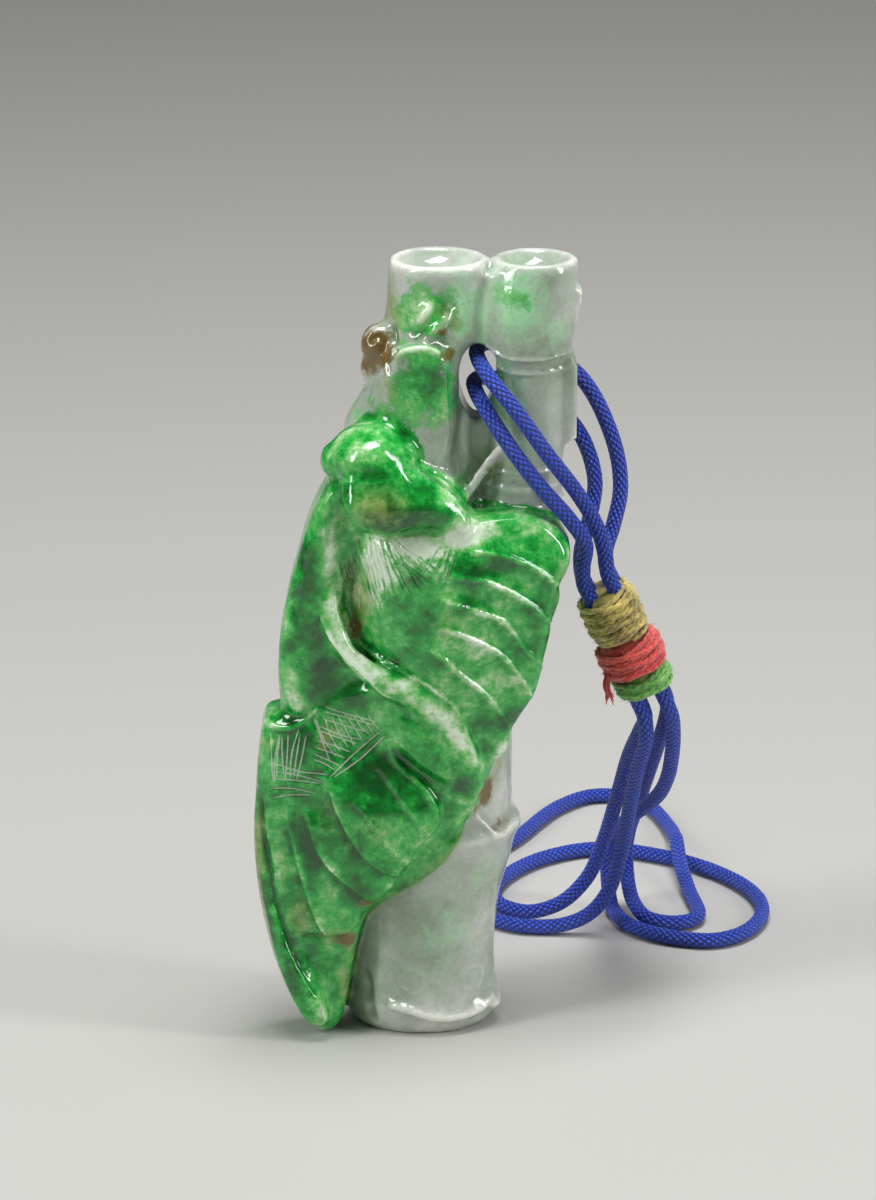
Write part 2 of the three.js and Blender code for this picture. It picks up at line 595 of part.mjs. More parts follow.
// One band of the whipping: a short barrel with rounded ends about the whipping's axis.
function whippingBand(width, start, end) {
  const length = end - start;
  const radius = width / 2;
  const profile = [
    [0, 0], [radius - BAND_ROUND, 0], [radius, BAND_ROUND], [radius, length - BAND_ROUND],
    [radius - BAND_ROUND, length], [0, length],
  ];
  const geometry = new THREE.LatheGeometry(profile.map(([r, y]) => new THREE.Vector2(r, y)), BAND_SIDES);
  const up = new THREE.Vector3(0, 1, 0);
  geometry.applyQuaternion(new THREE.Quaternion().setFromUnitVectors(up, WHIPPING_AXIS));
  geometry.translate(...WHIPPING_TOP.clone().addScaledVector(WHIPPING_AXIS, start).toArray());
  return geometry;
}

function piece(name, geometry, colour, roughness) {
  const material = new THREE.MeshStandardMaterial({ color: colour, roughness, metalness: 0 });
  const mesh = new THREE.Mesh(geometry, material);
  mesh.name = name;
  return mesh;
}

const pendant = new THREE.Group();
pendant.add(piece('jadeite_carving', carving(), 0x8fbf8c, 0.2));

for (const [name, points] of Object.entries({ ...UPPER_STRANDS, ...LOOPS })) {
  pendant.add(piece(name, cordTube(points), 0x1a2fae, 0.75));
}

const whippingLength = WHIPPING_TOP.distanceTo(WHIPPING_FOOT);
let start = 0;
for (const { name, share, width, colour } of WHIPPING_BANDS) {
  const end = start + share * whippingLength;
  pendant.add(piece(name, whippingBand(width, start, end - TOUCHING_GAP), colour, 0.9));
  start = end;
}

// Stand it up: the viewer's side faces -Y, and the stone's middle is at the origin.
pendant.rotation.x = Math.PI / 2;
pendant.position.y = STEM_PLANE_DEPTH;

const part = new THREE.Group();
part.add(pendant);
export default part;
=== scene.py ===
# A jadeite pendant carved as two bamboo stems with a bat spread over their front. It stands on
# its cut foot, and its doubled blue cord, bound with coloured thread, lies beside and behind it.

import math
import random

import bmesh
import bpy
import numpy as np
from mathutils import Matrix, Vector


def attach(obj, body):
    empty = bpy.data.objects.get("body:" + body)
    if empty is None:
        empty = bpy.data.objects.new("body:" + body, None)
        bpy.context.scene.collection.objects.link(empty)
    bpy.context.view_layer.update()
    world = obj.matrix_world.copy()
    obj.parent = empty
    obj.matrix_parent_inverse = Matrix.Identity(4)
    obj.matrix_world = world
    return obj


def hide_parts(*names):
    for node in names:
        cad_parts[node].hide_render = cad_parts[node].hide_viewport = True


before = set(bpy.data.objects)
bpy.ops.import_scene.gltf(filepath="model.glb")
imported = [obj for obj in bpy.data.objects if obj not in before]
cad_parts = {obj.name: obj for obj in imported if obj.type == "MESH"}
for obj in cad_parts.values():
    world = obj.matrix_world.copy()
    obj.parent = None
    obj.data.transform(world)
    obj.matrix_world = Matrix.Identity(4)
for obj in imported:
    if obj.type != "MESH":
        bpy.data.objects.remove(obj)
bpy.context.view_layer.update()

# The camera stands 470 mm in front of the stone and looks down on it at 17 degrees, with a long
# lens, so the stems hardly taper.
CAMERA_DISTANCE = 0.470
CAMERA_TILT = math.radians(17)
LOOK_AT = Vector((0.00156, 0.0020, 0.0356))

camera_data = bpy.data.cameras.new("camera")
camera_data.lens = 174.84
camera_data.sensor_width = 36
camera = bpy.data.objects.new("camera", camera_data)
bpy.context.scene.collection.objects.link(camera)
camera.location = LOOK_AT + CAMERA_DISTANCE * Vector((0, -math.cos(CAMERA_TILT), math.sin(CAMERA_TILT)))
camera.rotation_euler = (math.pi / 2 - CAMERA_TILT, 0, 0)
bpy.context.scene.camera = camera

# The cord: an eight-carrier nylon braid 1.25 mm thick. Two strands go through the slot between
# the stems and two loops lie on the table. All four pass through the thread whipping.
CORD_DIAMETER = 1.25
STEM_PLANE_DEPTH = 2.0
TOUCHING_GAP = 0.3
LEAD = 1.5
STRANDS_ABREAST = 1.05
STRANDS_DEEP = 0.85
HIDDEN_END = 1.8
WHIPPING_TOP = Vector((14.8, 36.3, -0.4))
WHIPPING_FOOT = Vector((18.6, 27.5, -1.6))
WHIPPING_AXIS = (WHIPPING_FOOT - WHIPPING_TOP).normalized()
ON_TABLE = 0.725
OVER_CORD = 2.475

# Pieces are shaped in millimetres as seen from the front: x right, y up, z towards the viewer.
# This stands them up, in metres.
STAND_UP = (
    Matrix.Scale(0.001, 4)
    @ Matrix.Translation((0, STEM_PLANE_DEPTH, 0))
    @ Matrix.Rotation(math.pi / 2, 4, "X")
)


def leaving(at_top, number):
    """The strand's first points as it leaves one end of the whipping, from just clear of it."""
    sideways = Vector((0, 0, 1)).cross(WHIPPING_AXIS).normalized()
    forwards = WHIPPING_AXIS.cross(sideways)
    port = (WHIPPING_TOP if at_top else WHIPPING_FOOT).copy()
    port += sideways * (STRANDS_ABREAST if number % 2 else -STRANDS_ABREAST)
    port += forwards * (STRANDS_DEEP if number < 2 else -STRANDS_DEEP)
    outwards = WHIPPING_AXIS * (-1 if at_top else 1)
    return [tuple(port + outwards * away) for away in (TOUCHING_GAP, LEAD)]


STRANDS = {
    "cord_upper_strand_a": leaving(True, 1) + [
        (15.0, 39.6, 0.9), (14.3, 42.2, 1.7), (12.7, 45.4, 3.2), (10.2, 49.1, 4.6), (7.5, 53.0, 4.9),
        (5.7, 55.1, 4.0), (4.8, 56.0, 1.6), (4.7, 56.2, -1.2), (5.6, 56.1, -3.6), (8.4, 55.7, -4.9),
        (12.9, 53.2, -4.4), (15.6, 48.2, -3.8), (16.3, 44.2, -3.1), (15.7, 41.3, -2.0), (15.1, 39.5, -1.2),
    ] + leaving(True, 3)[::-1],
    "cord_upper_strand_b": leaving(True, 0) + [
        (13.2, 38.7, 1.1), (13.35, 41.0, 2.4), (12.0, 43.5, 3.8), (9.7, 46.4, 4.7), (7.5, 49.4, 4.9),
        (5.6, 52.2, 4.1), (4.6, 53.4, 1.6), (4.5, 53.6, -1.2), (5.6, 53.2, -3.6), (8.6, 52.0, -4.8),
        (12.6, 49.0, -4.2), (14.2, 45.0, -3.2), (13.8, 41.8, -2.3), (13.1, 39.2, -1.4),
    ] + leaving(True, 2)[::-1],
    "cord_loop_a": leaving(False, 1) + [
        (20.6, 25.2, -1.5), (20.8, 23.2, -3.0), (20.8, 20.4, -5.6), (20.6, 17.6, -8.6), (20.0, 14.9, -12.0),
        (18.9, 12.7, -15.2), (17.7, 10.5, -18.5), (16.9, 8.4, -22.0), (16.4, 6.1, -25.0), (16.2, 3.8, -25.8),
        (16.3, 1.9, -25.2), (16.5, 0.85, -23.9), (17.0, ON_TABLE, -21.4), (18.1, ON_TABLE, -18.8),
        (20.2, ON_TABLE, -16.8), (22.6, ON_TABLE, -15.6), (24.9, ON_TABLE, -15.3), (26.9, ON_TABLE, -16.4),
        (28.6, ON_TABLE, -19.0), (29.5, ON_TABLE, -22.8), (28.9, ON_TABLE, -27.2), (26.2, ON_TABLE, -32.2),
        (21.4, ON_TABLE, -36.6), (15.6, ON_TABLE, -38.6), (10.9, ON_TABLE, -36.2), (7.7, ON_TABLE, -31.8),
        (6.4, ON_TABLE, -27.3), (7.2, ON_TABLE, -23.8), (9.6, 0.9, -21.9), (12.2, 2.0, -21.3),
        (14.3, 4.4, -20.7), (15.6, 8.4, -18.6), (16.6, 14.0, -14.0), (17.4, 19.4, -9.0), (18.2, 23.0, -5.0),
        (18.5, 24.6, -3.2),
    ] + leaving(False, 2)[::-1],
    "cord_loop_b": leaving(False, 3) + [
        (20.3, 25.4, -3.3), (20.2, 23.7, -5.0), (19.6, 18.9, -10.8), (18.9, 13.8, -17.1), (18.4, 10.0, -21.7),
        (18.0, 7.2, -25.0), (17.8, 5.1, -25.8), (17.9, 3.2, -25.2), (18.1, 2.1, -23.6), (18.5, 1.6, -21.6),
        (19.4, 1.1, -19.9), (21.1, 0.9, -19.2), (22.8, 0.8, -19.7), (23.9, ON_TABLE, -21.4),
        (23.4, 0.8, -27.4), (22.8, 1.6, -32.2), (22.6, OVER_CORD, -35.8), (22.6, 1.6, -39.4),
        (22.3, 0.8, -44.2), (20.6, ON_TABLE, -50.4), (18.4, ON_TABLE, -52.9), (15.6, ON_TABLE, -53.1),
        (12.5, ON_TABLE, -50), (8.6, ON_TABLE, -41.6), (4.9, ON_TABLE, -34.5), (4.2, ON_TABLE, -27),
        (5.4, ON_TABLE, -21.8), (8.4, ON_TABLE, -19.0), (12.0, 0.9, -18.5), (14.4, 2.0, -18.2),
        (16.0, 4.4, -17.2), (17.0, 8.6, -14.9), (17.5, 14.0, -10.4), (18.0, 19.4, -5.4), (18.5, 22.8, -2.3),
        (18.5, 24.4, -1.3),
    ] + leaving(False, 0)[::-1],
}


def smooth_through(points, per_span, closed=False):
    """A smooth curve through the points, as rows of coordinates."""
    points = np.array(points, float)
    if closed:
        ring = np.vstack([points[-1:], points, points[:2]])
    else:
        ring = np.vstack([2 * points[:1] - points[1:2], points, 2 * points[-1:] - points[-2:-1]])
    t = np.linspace(0, 1, per_span, endpoint=False)[:, None]
    curve = []
    for p0, p1, p2, p3 in zip(ring, ring[1:], ring[2:], ring[3:]):
        d0, d1, d2 = (max(np.linalg.norm(b - a) ** 0.5, 1e-4) for a, b in ((p0, p1), (p1, p2), (p2, p3)))
        leaving_p1 = d1 * ((p1 - p0) / d0 - (p2 - p0) / (d0 + d1) + (p2 - p1) / d1)
        reaching_p2 = d1 * ((p2 - p1) / d1 - (p3 - p1) / (d1 + d2) + (p3 - p2) / d2)
        curve.append(
            (2 * t**3 - 3 * t**2 + 1) * p1
            + (t**3 - 2 * t**2 + t) * leaving_p1
            + (3 * t**2 - 2 * t**3) * p2
            + (t**3 - t**2) * reaching_p2
        )
    if not closed:
        curve.append(points[-1:])
    return np.vstack(curve)


def evenly(curve, step):
    """The curve as vectors a step apart."""
    lengths = np.concatenate([[0], np.cumsum(np.linalg.norm(np.diff(curve, axis=0), axis=1))])
    at = np.linspace(0, lengths[-1], max(2, round(lengths[-1] / step) + 1))
    return [Vector(p) for p in np.stack([np.interp(at, lengths, curve[:, i]) for i in range(3)], axis=1)]


def sweep(bm, route, radius, sides):
    """Draws a round section along the route. radius gives the section's radius at each share of it.
    The vertices keep their place round the section and their distance along it."""
    around = bm.verts.layers.float.get("around") or bm.verts.layers.float.new("around")
    along = bm.verts.layers.float.get("along") or bm.verts.layers.float.new("along")
    last = len(route) - 1
    direction = (route[1] - route[0]).normalized()
    turn = direction.to_track_quat("Z", "Y")
    before = Matrix.Translation(route[0]) @ turn.to_matrix().to_4x4() @ Matrix.Scale(radius(0), 4)
    ring = bmesh.ops.create_circle(bm, cap_ends=True, segments=sides, radius=1, matrix=before)["verts"]
    for i, vertex in enumerate(ring):
        vertex[around] = i / sides
        vertex[along] = 0
    edges = list({edge for vertex in ring for edge in vertex.link_edges})
    travelled = 0
    for i in range(1, last + 1):
        ahead = (route[min(i + 1, last)] - route[i - 1]).normalized()
        turn = direction.rotation_difference(ahead) @ turn
        direction = ahead
        here = Matrix.Translation(route[i]) @ turn.to_matrix().to_4x4() @ Matrix.Scale(radius(i / last), 4)
        grown = bmesh.ops.extrude_edge_only(bm, edges=edges)["geom"]
        ring = [item for item in grown if isinstance(item, bmesh.types.BMVert)]
        edges = [item for item in grown if isinstance(item, bmesh.types.BMEdge)]
        bmesh.ops.transform(bm, matrix=here @ before.inverted(), verts=ring)
        travelled += (route[i] - route[i - 1]).length
        for vertex in ring:
            vertex[along] = travelled
        before = here
    bmesh.ops.contextual_create(bm, geom=edges)


def merge(bm, part):
    """Puts the part, a bmesh of its own, into bm with its faces turned outwards."""
    bmesh.ops.recalc_face_normals(part, faces=part.faces[:])
    mesh = bpy.data.meshes.new("part")
    part.to_mesh(mesh)
    part.free()
    bm.from_mesh(mesh)
    bpy.data.meshes.remove(mesh)


def thread(bm, route, radius, sides):
    """A sweep that is made by itself first, which is quicker where there are many."""
    part = bmesh.new()
    sweep(part, route, radius, sides)
    merge(bm, part)


def finished(bm, name, material):
    """The bmesh as a smooth piece that stands in the row frame and rides on the stone."""
    bmesh.ops.recalc_face_normals(bm, faces=bm.faces[:])
    mesh = bpy.data.meshes.new(name)
    bm.to_mesh(mesh)
    bm.free()
    mesh.transform(STAND_UP)
    mesh.shade_smooth()
    mesh.materials.append(material)
    piece = bpy.data.objects.new(name, mesh)
    bpy.context.scene.collection.objects.link(piece)
    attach(piece, "root")
    return piece


def colour(hex_code):
    """A sRGB hex code as a linear colour."""
    parts = [int(hex_code[i : i + 2], 16) / 255 for i in (1, 3, 5)]
    return [p / 12.92 if p <= 0.04045 else ((p + 0.055) / 1.055) ** 2.4 for p in parts] + [1]


def add(tree, kind, inputs=None, **settings):
    """Adds a node, sets it, and gives each input a value or a link."""
    new = tree.nodes.new("ShaderNode" + kind)
    for name, value in settings.items():
        setattr(new, name, value)
    for key, value in (inputs or {}).items():
        if isinstance(value, bpy.types.NodeSocket):
            tree.links.new(value, new.inputs[key])
        else:
            new.inputs[key].default_value = value
    return new


def material_named(name):
    """An empty material with its shader: gives the material, its tree and the shader node."""
    material = bpy.data.materials.new(name)
    material.use_nodes = True
    tree = material.node_tree
    return material, tree, tree.nodes["Principled BSDF"]


# Braided nylon: the colour paints a highlight on the crossing yarns' crowns and paints shade where they dive under
# each other. The braid has eight crossings round it, 0.62 mm apart along it.
CROSSINGS_AROUND = 8
CROSSING_LENGTH = 0.62

nylon, tree, shader = material_named("braided nylon")
uv = add(tree, "UVMap", uv_map="braid")
places = add(tree, "SeparateXYZ", {0: uv.outputs[0]})
round_it = add(tree, "Math", {0: places.outputs[0], 1: CROSSINGS_AROUND * math.pi}, operation="MULTIPLY")
along_it = add(tree, "Math", {0: places.outputs[1], 1: math.pi / CROSSING_LENGTH}, operation="MULTIPLY")
one_way = add(tree, "Math", {0: round_it.outputs[0], 1: along_it.outputs[0]}, operation="ADD")
other_way = add(tree, "Math", {0: round_it.outputs[0], 1: along_it.outputs[0]}, operation="SUBTRACT")
crown_a = add(tree, "Math", {0: one_way.outputs[0]}, operation="COSINE")
crown_b = add(tree, "Math", {0: other_way.outputs[0]}, operation="COSINE")
crossing = add(tree, "Math", {0: crown_a.outputs[0], 1: crown_b.outputs[0]}, operation="MULTIPLY")
crown = add(tree, "Math", {0: crossing.outputs[0]}, operation="ABSOLUTE")
raised = add(tree, "Math", {0: crown.outputs[0], 1: 0.6}, operation="POWER")
filaments = add(tree, "TexNoise", {"Vector": uv.outputs[0], "Scale": 14.0, "Detail": 3.0})
uneven = add(tree, "Math", {0: filaments.outputs["Fac"], 1: 0.35, 2: -0.12}, operation="MULTIPLY_ADD")
# Painted light: the yarn crowns get a bright blue and the crossings a near-black blue, standing in for highlight
# and shade.
painted_crown_light = add(tree, "Math", {0: raised.outputs[0], 1: uneven.outputs[0]}, operation="ADD", use_clamp=True)
blue_with_painted_light = add(
    tree, "Mix", {0: painted_crown_light.outputs[0], 6: colour("#050c42"), 7: colour("#2f52e0")}, data_type="RGBA"
)
bump = add(tree, "Bump", {"Height": raised.outputs[0], "Strength": 1.0, "Distance": 0.00022})
tree.links.new(blue_with_painted_light.outputs[2], shader.inputs["Base Color"])
tree.links.new(bump.outputs[0], shader.inputs["Normal"])
shader.inputs["Roughness"].default_value = 0.46
shader.inputs["IOR"].default_value = 1.53
shader.inputs["Sheen Weight"].default_value = 0.35
shader.inputs["Sheen Roughness"].default_value = 0.4
shader.inputs["Sheen Tint"].default_value = colour("#8fa6ff")


def braided_strand(name, points):
    """One strand of the cord, its ends hidden in the whipping's thread."""
    curve = smooth_through(points, 14)
    into = [Vector(curve[0]) * 2 - Vector(curve[1]), Vector(curve[-1]) * 2 - Vector(curve[-2])]
    inner_start = Vector(curve[0]) + (into[0] - Vector(curve[0])).normalized() * HIDDEN_END
    inner_end = Vector(curve[-1]) + (into[1] - Vector(curve[-1])).normalized() * HIDDEN_END
    whole = np.vstack([[tuple(inner_start)], curve, [tuple(inner_end)]])
    route = evenly(whole, 0.33)
    bm = bmesh.new()
    sweep(bm, route, lambda share: CORD_DIAMETER / 2, sides=16)
    around = bm.verts.layers.float["around"]
    along = bm.verts.layers.float["along"]
    braid = bm.loops.layers.uv.new("braid")
    for face in bm.faces:
        values = [loop.vert[around] for loop in face.loops]
        crosses_seam = max(values) - min(values) > 0.5 and len(values) == 4
        for loop in face.loops:
            share = loop.vert[around]
            loop[braid].uv = (share + 1 if crosses_seam and share < 0.5 else share, loop.vert[along])
    piece = finished(bm, name.replace("cord", "braided_cord"), nylon)
    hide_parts(name)


for strand, strand_points in STRANDS.items():
    braided_strand(strand, strand_points)

# The whipping: two-ply cotton thread wound tightly round the four strands in three bands,
# yellow, red and green, with fuzz standing off it and one loose red end.
WHIPPING_LENGTH = (WHIPPING_FOOT - WHIPPING_TOP).length
THREAD = 0.5
PLY = 0.17
# In each band the last colour is its pale shade, which also serves as the painted highlight on the fibre tops.
BANDS = [
    ("yellow_thread", "yellow_thread_whipping", 0.0, 0.48, 4.9, "#7f6d14", "#e4cd68"),
    ("red_thread", "red_thread_whipping", 0.48, 0.79, 5.5, "#b4100c", "#ee4936"),
    ("green_thread", "green_thread_whipping", 0.79, 1.0, 5.0, "#35871a", "#83cc50"),
]


def cotton(name, dark, pale_dye_and_highlight):
    """Cotton thread: matt and fibrous; its colour varies with the dye and has a painted highlight where the fibres
    stand up.
    """
    material, tree, shader = material_named(name)
    place = add(tree, "TexCoord")
    fibres = add(tree, "TexNoise", {"Vector": place.outputs["Object"], "Scale": 2600.0, "Detail": 4.0})
    dye = add(tree, "TexNoise", {"Vector": place.outputs["Object"], "Scale": 520.0, "Detail": 2.0})
    both = add(tree, "Math", {0: fibres.outputs["Fac"], 1: dye.outputs["Fac"]}, operation="ADD")
    share = add(tree, "MapRange", {0: both.outputs[0], 1: 0.75, 2: 1.3})
    # The colour mixes the dark and pale shades by the dye and by the fibres' height, so the fibre tops carry a
    # painted highlight.
    shade = add(
        tree, "Mix", {0: share.outputs[0], 6: colour(dark), 7: colour(pale_dye_and_highlight)}, data_type="RGBA"
    )
    bump = add(tree, "Bump", {"Height": fibres.outputs["Fac"], "Strength": 0.7, "Distance": 0.0001})
    tree.links.new(shade.outputs[2], shader.inputs["Base Color"])
    tree.links.new(bump.outputs[0], shader.inputs["Normal"])
    shader.inputs["Roughness"].default_value = 0.88
    shader.inputs["IOR"].default_value = 1.5
    shader.inputs["Sheen Weight"].default_value = 0.6
    shader.inputs["Sheen Roughness"].default_value = 0.6
    return material


def wound_band(name, node, start, end, width, dark, pale_dye_and_highlight, seed):
    """One band: a core, the thread wound over it, and its fuzz."""
    chance = random.Random(seed)
    across = WHIPPING_AXIS.orthogonal().normalized()
    other = WHIPPING_AXIS.cross(across)
    first = WHIPPING_TOP + WHIPPING_AXIS * (start * WHIPPING_LENGTH)
    length = (end - start) * WHIPPING_LENGTH - TOUCHING_GAP

    def on_band(distance, angle, height=0.0):
        share = min(max(distance / length, 0), 1)
        barrel = width / 2 - 0.28 - 0.3 * abs(2 * share - 1) ** 4 + height
        outwards = across * math.cos(angle) + other * math.sin(angle)
        return first + WHIPPING_AXIS * distance + outwards * barrel

    bm = bmesh.new()
    core = [first + WHIPPING_AXIS * (length * i / 12) for i in range(13)]
    thread(bm, core, lambda share: width / 2 - 0.42 - 0.35 * abs(2 * share - 1) ** 4, sides=32)
    for layer in range(2):
        turns = length / (THREAD * (0.92 if layer == 0 else 1.9))
        wander = [chance.uniform(-0.1, 0.1) for _ in range(24)]
        lean = 0.32 if layer == 0 else -0.5
        centre = []
        steps = int(turns * 72)
        for i in range(steps + 1):
            angle = 2 * math.pi * turns * i / steps
            drift = wander[int(angle) % 24] * (1 - angle % 1) + wander[(int(angle) + 1) % 24] * (angle % 1)
            distance = 0.22 + (length - 0.44) * i / steps + drift + lean * math.cos(angle + 0.9)
            distance = min(max(distance, 0.12), length - 0.12)
            centre.append((on_band(distance, angle, 0.14 * layer), angle))
        for ply in range(2):
            twisted = []
            for i, (point, angle) in enumerate(centre):
                twist = angle * (width / 2) / 0.24 + math.pi * ply
                outwards = (point - first) - WHIPPING_AXIS * (point - first).dot(WHIPPING_AXIS)
                outwards.normalize()
                offset = outwards * math.cos(twist) + WHIPPING_AXIS * math.sin(twist)
                twisted.append(point + offset * (THREAD / 2 - PLY) * 0.9)
            thread(bm, twisted, lambda share: PLY, sides=6)
    for _ in range(70):
        distance = chance.uniform(0.1, length - 0.1)
        angle = chance.uniform(0, 2 * math.pi)
        away = chance.uniform(0.25, 0.75)
        bend = chance.uniform(-0.5, 0.5)
        slide = chance.uniform(-0.5, 0.5)
        fibre = [on_band(distance + slide * s, angle + bend * s, 0.1 + away * s * (1 - 0.35 * s))
                 for s in (0, 0.25, 0.5, 0.75, 1)]
        thread(bm, fibre, lambda share: 0.022 * (1 - 0.6 * share), sides=3)
    if name == "red_thread":
        to_the_left = Vector((-0.8, -0.3, 0.55))
        left_angle = math.atan2(to_the_left.dot(other), to_the_left.dot(across))
        for ply in range(12):
            angle = left_angle + chance.uniform(-0.14, 0.14)
            root = on_band(length - 0.9, angle, 0.1 + 0.02 * ply)
            fall = root + Vector((-0.15 + chance.uniform(-0.1, 0.1), -0.9, 0.25))
            tip = root + Vector((0.05 + chance.uniform(-0.4, 0.4), chance.uniform(-2.6, -1.9), 0.1))
            curve = smooth_through([tuple(root), tuple(fall), tuple(tip)], 8)
            thread(bm, evenly(curve, 0.2), lambda share: 0.11 * (1.15 - share * 0.75), sides=5)
    piece = finished(bm, name, cotton(name.replace("_", " "), dark, pale_dye_and_highlight))
    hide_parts(node)


for seed, band in enumerate(BANDS):
    wound_band(*band, seed)

# The stone: jadeite carved from one piece and polished. Two bamboo stems stand side by side, a
# bat clings to their front with its head up, and twigs and buds grow at the joints.
CARVING_HEIGHT = 64.2
THICK_STEM = {
    "half_width": [
        (0, 5.5), (0.9, 6.15), (2.2, 6.4), (3.4, 6.1), (6, 5.95), (10, 6.2), (15, 6.7), (16.8, 7.0),
        (19, 6.45), (26, 6.3), (36, 6.0), (45, 5.6), (50, 5.1), (54, 4.25), (57.5, 3.7), (61, 3.7),
        (64.2, 4.0),
    ],
    "middle": [
        (0, 0.2), (9, 0.2), (17, 1.1), (26, 1.3), (36, 0.2), (45, -0.7), (50, -0.9), (55, 0.2), (58, 0.9),
        (61, 1.2), (64, 1.65),
    ],
    "depth": [(0, 0.86), (20, 0.9), (40, 0.92), (56, 1), (64, 1)],
    "nodes": [(16.9, 0.3, 0.5)],
}
THIN_STEM = {
    "half_width": [
        (22, 2.5), (30, 3.4), (40, 3.6), (50, 3.2), (55, 3.2), (57.6, 3.7), (61, 3.75), (64.2, 3.45),
    ],
    "middle": [(22, 4.2), (34, 6.6), (41, 7.6), (46, 8.2), (50, 8.6), (56, 8.6), (58, 8.7), (61, 8.85), (64, 9.25)],
    "depth": [(22, 1), (64, 1)],
    "nodes": [],
}
RIM_DISH = 1.6
RIM_WALL = 0.75
RIM_ROUND = 0.35


def between(pairs, at):
    """The value at a height, from a few (height, value) pairs with a soft step between them."""
    at = np.asarray(at, float)
    value = np.full(at.shape, float(pairs[0][1]))
    for (low, low_value), (high, high_value) in zip(pairs, pairs[1:]):
        t = np.clip((at - low) / (high - low), 0, 1)
        value = np.where(at > low, low_value + (high_value - low_value) * t * t * (3 - 2 * t), value)
    return value


def stem(bm, shape, foot):
    """One bamboo stem, turned round its middle line, then bent and flattened as the carving is."""
    heights = np.arange(foot, CARVING_HEIGHT - 0.8, 0.2)
    radii = between(shape["half_width"], heights)
    for node, height, half_width in shape["nodes"]:
        radii = radii + height * np.exp(-(((heights - node) / half_width) ** 2))
    top = CARVING_HEIGHT
    rim = float(between(shape["half_width"], top))
    profile = [(0, foot)] + list(zip(radii, heights)) + [
        (rim, top - 0.8), (rim - 0.04, top - 0.4), (rim - 0.12, top - 0.2), (rim - RIM_ROUND, top),
        (rim - RIM_WALL, top - 0.12), (rim - RIM_WALL - 0.3, top - 0.7),
        (rim - RIM_WALL - 0.9, top - RIM_DISH * 0.85), (0, top - RIM_DISH),
    ]
    part = bmesh.new()
    line = [part.verts.new((r, y, 0)) for r, y in profile]
    edges = [part.edges.new(pair) for pair in zip(line, line[1:])]
    bmesh.ops.spin(
        part, geom=line + edges, cent=(0, 0, 0), axis=(0, 1, 0), angle=2 * math.pi, steps=72, use_merge=True
    )
    bmesh.ops.remove_doubles(part, verts=part.verts[:], dist=0.001)
    y = np.array([v.co.y for v in part.verts])
    shift = between(shape["middle"], y)
    flatten = between(shape["depth"], y)
    for v, dx, sz in zip(part.verts, shift, flatten):
        v.co.x += dx
        v.co.z *= sz
    merge(bm, part)


def inside_distance(outline, x, y):
    """Distance of each point from the closed outline, positive inside."""
    nearest = np.full(x.shape, np.inf)
    inside = np.zeros(x.shape, bool)
    for a, b in zip(outline, np.roll(outline, 1, axis=0)):
        dx, dy = b - a
        t = np.clip(((x - a[0]) * dx + (y - a[1]) * dy) / max(dx * dx + dy * dy, 1e-12), 0, 1)
        nearest = np.minimum(nearest, np.hypot(x - a[0] - t * dx, y - a[1] - t * dy))
        if dy:
            inside ^= ((a[1] > y) != (b[1] > y)) & (x < dx * (y - a[1]) / dy + a[0])
    return np.where(inside, nearest, -nearest)


def onto(outline, point):
    """The outline's point nearest to this one."""
    ahead = np.roll(outline, -1, axis=0)
    step = ahead - outline
    t = np.clip(((point - outline) * step).sum(1) / np.maximum((step * step).sum(1), 1e-12), 0, 1)
    found = outline + step * t[:, None]
    return found[np.argmin(((found - point) ** 2).sum(1))]


def rounded_fall(distance, edge, drop):
    t = 1 - np.clip(distance / edge, 0, 1)
    return drop * (1 - np.sqrt(1 - t * t))


def near_line(line, x, y):
    """Distance to the line, the share of the way along it, and which side: 1 is left of its travel."""
    path = smooth_through(line, 6) if len(line) > 2 else np.array(line, float)
    lengths = np.concatenate([[0], np.cumsum(np.linalg.norm(np.diff(path, axis=0), axis=1))])
    nearest = np.full(x.shape, np.inf)
    share = np.zeros(x.shape)
    side = np.ones(x.shape)
    for a, b, start in zip(path, path[1:], lengths):
        dx, dy = b - a
        t = np.clip(((x - a[0]) * dx + (y - a[1]) * dy) / max(dx * dx + dy * dy, 1e-12), 0, 1)
        d = np.hypot(x - a[0] - t * dx, y - a[1] - t * dy)
        share = np.where(d < nearest, (start + t * math.hypot(dx, dy)) / lengths[-1], share)
        side = np.where(d < nearest, np.sign(dx * (y - a[1]) - dy * (x - a[0])), side)
        nearest = np.minimum(nearest, d)
    return nearest, share, side


def carved_layer(bm, outline, face, edge, drop, back, back_drop=0.0, cell=0.3):
    """A layer of the relief: a sheet trimmed to its outline, raised to its face, its edge rounded."""
    points = smooth_through(outline, 6, closed=True)
    low = points.min(0) - cell
    high = points.max(0) + cell
    columns, rows = (int(n) for n in (high - low) / cell)
    half = (high - low) / 2
    sheet = bmesh.new()
    bmesh.ops.create_grid(
        sheet, x_segments=columns, y_segments=rows, size=1,
        matrix=Matrix.Translation((*((low + high) / 2), 0)) @ Matrix.Diagonal((half[0], half[1], 1, 1)),
    )
    co = np.array([v.co for v in sheet.verts])
    inside = inside_distance(points, co[:, 0], co[:, 1])
    outer = [f for f in sheet.faces if sum(inside[v.index] for v in f.verts) < 0]
    bmesh.ops.delete(sheet, geom=outer, context="FACES")
    for v in sheet.verts:
        if v.is_boundary:
            v.co.xy = onto(points, np.array(v.co.xy))
    lower = sheet.verts[:]
    grown = bmesh.ops.extrude_face_region(sheet, geom=sheet.faces[:], use_keep_orig=True)["geom"]
    upper = [item for item in grown if isinstance(item, bmesh.types.BMVert)]
    for verts, is_face in ((upper, True), (lower, False)):
        co = np.array([v.co for v in verts])
        inside = inside_distance(points, co[:, 0], co[:, 1])
        if is_face:
            height = face(co[:, 0], co[:, 1]) - rounded_fall(inside, edge, drop)
        else:
            height = back + rounded_fall(inside, edge, back_drop)
        for v, z in zip(verts, height):
            v.co.z = z
    merge(bm, sheet)


